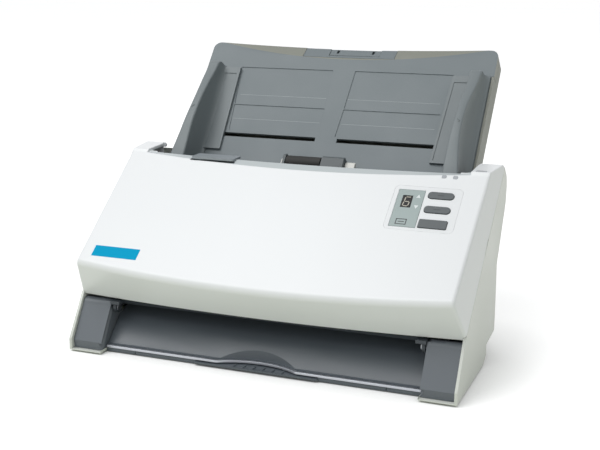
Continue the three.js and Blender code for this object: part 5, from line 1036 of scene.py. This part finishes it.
def buildBlueLabel():
    outline = roundedOutline(*marks["blueX"], *marks["blueS"], marks["blueCorner"], 3)
    label = extruded(outline, -marks["blueLift"], marks["blueLift"])
    finishMark([label], "blueLabel", "cover_shell", "blue")


def buttonDash(node, s, top):
    half, width, x = marks["dashHalf"], marks["dashWidth"] / 2, marks["dashX"]
    outline = roundedOutline(x - half, x + half, s - width, s + width, width * marks["dashRound"], 3)
    dash = extruded(outline, top - marks["dashSunk"], top + marks["dashProud"])
    finishMark([dash], camel(node) + "Dash", node, "dark")


buildPanelMarks()
buildDigit()
buildBlueLabel()
buttonTop = max((onLid.inverted() @ Vector(v.co)).z for v in frame["nodes"]["up_button"].data.vertices)
for dashNode, dashS in zip(("up_button", "down_button"), marks["dashS"]):
    buttonDash(dashNode, dashS, buttonTop)
print("marks ready, buttons stand", round(buttonTop, 2), "mm over the panel")

# CAD nodes that stay visible keep their shape and get the same finishes
for node, piece in frame["nodes"].items():
    if not piece.hide_render:
        piece.data.materials.clear()
        piece.data.materials.append(finishes[slotOf[node]])

# floor, light and camera
studio = {
    "floorColour": (238, 238, 238), "bounceColour": (228, 232, 216), "floorLift": 0.6,
    "contactReach": 0.075, "contactPower": 1.3, "floorHalf": 6, "floorDrop": 0.0002,
    "floorRoughness": 0.9, "floorSpecular": 0.1,
    "worldColour": (0.97, 0.99, 1.0), "worldStrength": 0.44,
    "keyEnergy": 26, "keySize": 1.5, "keySpot": (-0.8, -0.75, 2.0),
    "fillEnergy": 1, "fillSize": 1.4, "fillSpot": (1.5, -1.2, 0.7), "aimHeight": 0.1,
    "camera": (0.319, -0.833587, 0.309), "cameraTurn": (76.26, 0, 21.36), "lens": 66, "sensor": 36,
    "nearest": 0.01, "farthest": 50,
}


def shownToCamera(tree, end, others, seen):
    # "seen" is for what the camera sees, also in a mirror or through glass, "others" for the light on things
    path = madeNode(tree, "ShaderNodeLightPath").outputs
    direct = mathNode(tree, "MAXIMUM", path["Is Camera Ray"], path["Is Glossy Ray"])
    choice = mathNode(tree, "MAXIMUM", direct, path["Is Transmission Ray"])
    switch = madeNode(tree, "ShaderNodeMixShader", {0: choice, 1: others.outputs[0], 2: seen.outputs[0]})
    fillNode(tree, tree.nodes[end], {"Surface": switch.outputs[0]})


def buildFloor():
    half = studio["floorHalf"]
    floor = solidFrom("floor", [(-half, -half, 0), (half, -half, 0), (half, half, 0), (-half, half, 0)],
                      [(0, 1, 2, 3)])
    floor.location.z = -studio["floorDrop"]
    material = bpy.data.materials.new("floorPaper")
    material.use_nodes = True
    tree = material.node_tree
    shader = fillNode(tree, tree.nodes["Principled BSDF"], {
        "Base Color": linear(*studio["floorColour"]), "Roughness": studio["floorRoughness"],
        "Specular IOR Level": studio["floorSpecular"],
    })
    bounce = madeNode(tree, "ShaderNodeBsdfDiffuse", {"Color": linear(*studio["bounceColour"])})
    # the lift towards white fades close to the object, which keeps its contact shadow
    nearness = madeNode(tree, "ShaderNodeAmbientOcclusion", {"Distance": studio["contactReach"]})
    contact = mathNode(tree, "POWER", nearness.outputs["AO"], studio["contactPower"])
    lift = mathNode(tree, "MULTIPLY", contact, studio["floorLift"])
    glow = madeNode(tree, "ShaderNodeEmission", {"Strength": lift})
    both = madeNode(tree, "ShaderNodeAddShader", {0: shader.outputs[0], 1: glow.outputs[0]})
    shownToCamera(tree, "Material Output", bounce, both)
    floor.data.materials.append(material)


def buildWorld():
    world = bpy.data.worlds.new("studio")
    bpy.context.scene.world = world
    world.use_nodes = True
    tree = world.node_tree
    room = fillNode(tree, tree.nodes["Background"], {
        "Color": (*studio["worldColour"], 1), "Strength": studio["worldStrength"],
    })
    white = madeNode(tree, "ShaderNodeBackground", {"Color": (1, 1, 1, 1), "Strength": 1.0})
    shownToCamera(tree, "World Output", room, white)


def softLamp(name, spot, size, energy):
    lamp = bpy.data.lights.new(name, "AREA")
    lamp.shape, lamp.size, lamp.energy = "SQUARE", size, energy
    holder = bpy.data.objects.new(name, lamp)
    bpy.context.scene.collection.objects.link(holder)
    holder.location = spot
    aim = Vector((0, 0, studio["aimHeight"])) - Vector(spot)
    holder.rotation_euler = aim.to_track_quat("-Z", "Y").to_euler()


def buildCamera():
    camera = bpy.data.cameras.new("photoCamera")
    camera.lens, camera.sensor_width = studio["lens"], studio["sensor"]
    camera.clip_start, camera.clip_end = studio["nearest"], studio["farthest"]
    holder = bpy.data.objects.new("photoCamera", camera)
    bpy.context.scene.collection.objects.link(holder)
    holder.location = studio["camera"]
    holder.rotation_euler = [radians(angle) for angle in studio["cameraTurn"]]
    bpy.context.scene.camera = holder


buildFloor()
buildWorld()
softLamp("keyLamp", studio["keySpot"], studio["keySize"], studio["keyEnergy"])
softLamp("fillLamp", studio["fillSpot"], studio["fillSize"], studio["fillEnergy"])
buildCamera()
bpy.context.scene.view_settings.view_transform = "Standard"
print("studio ready")
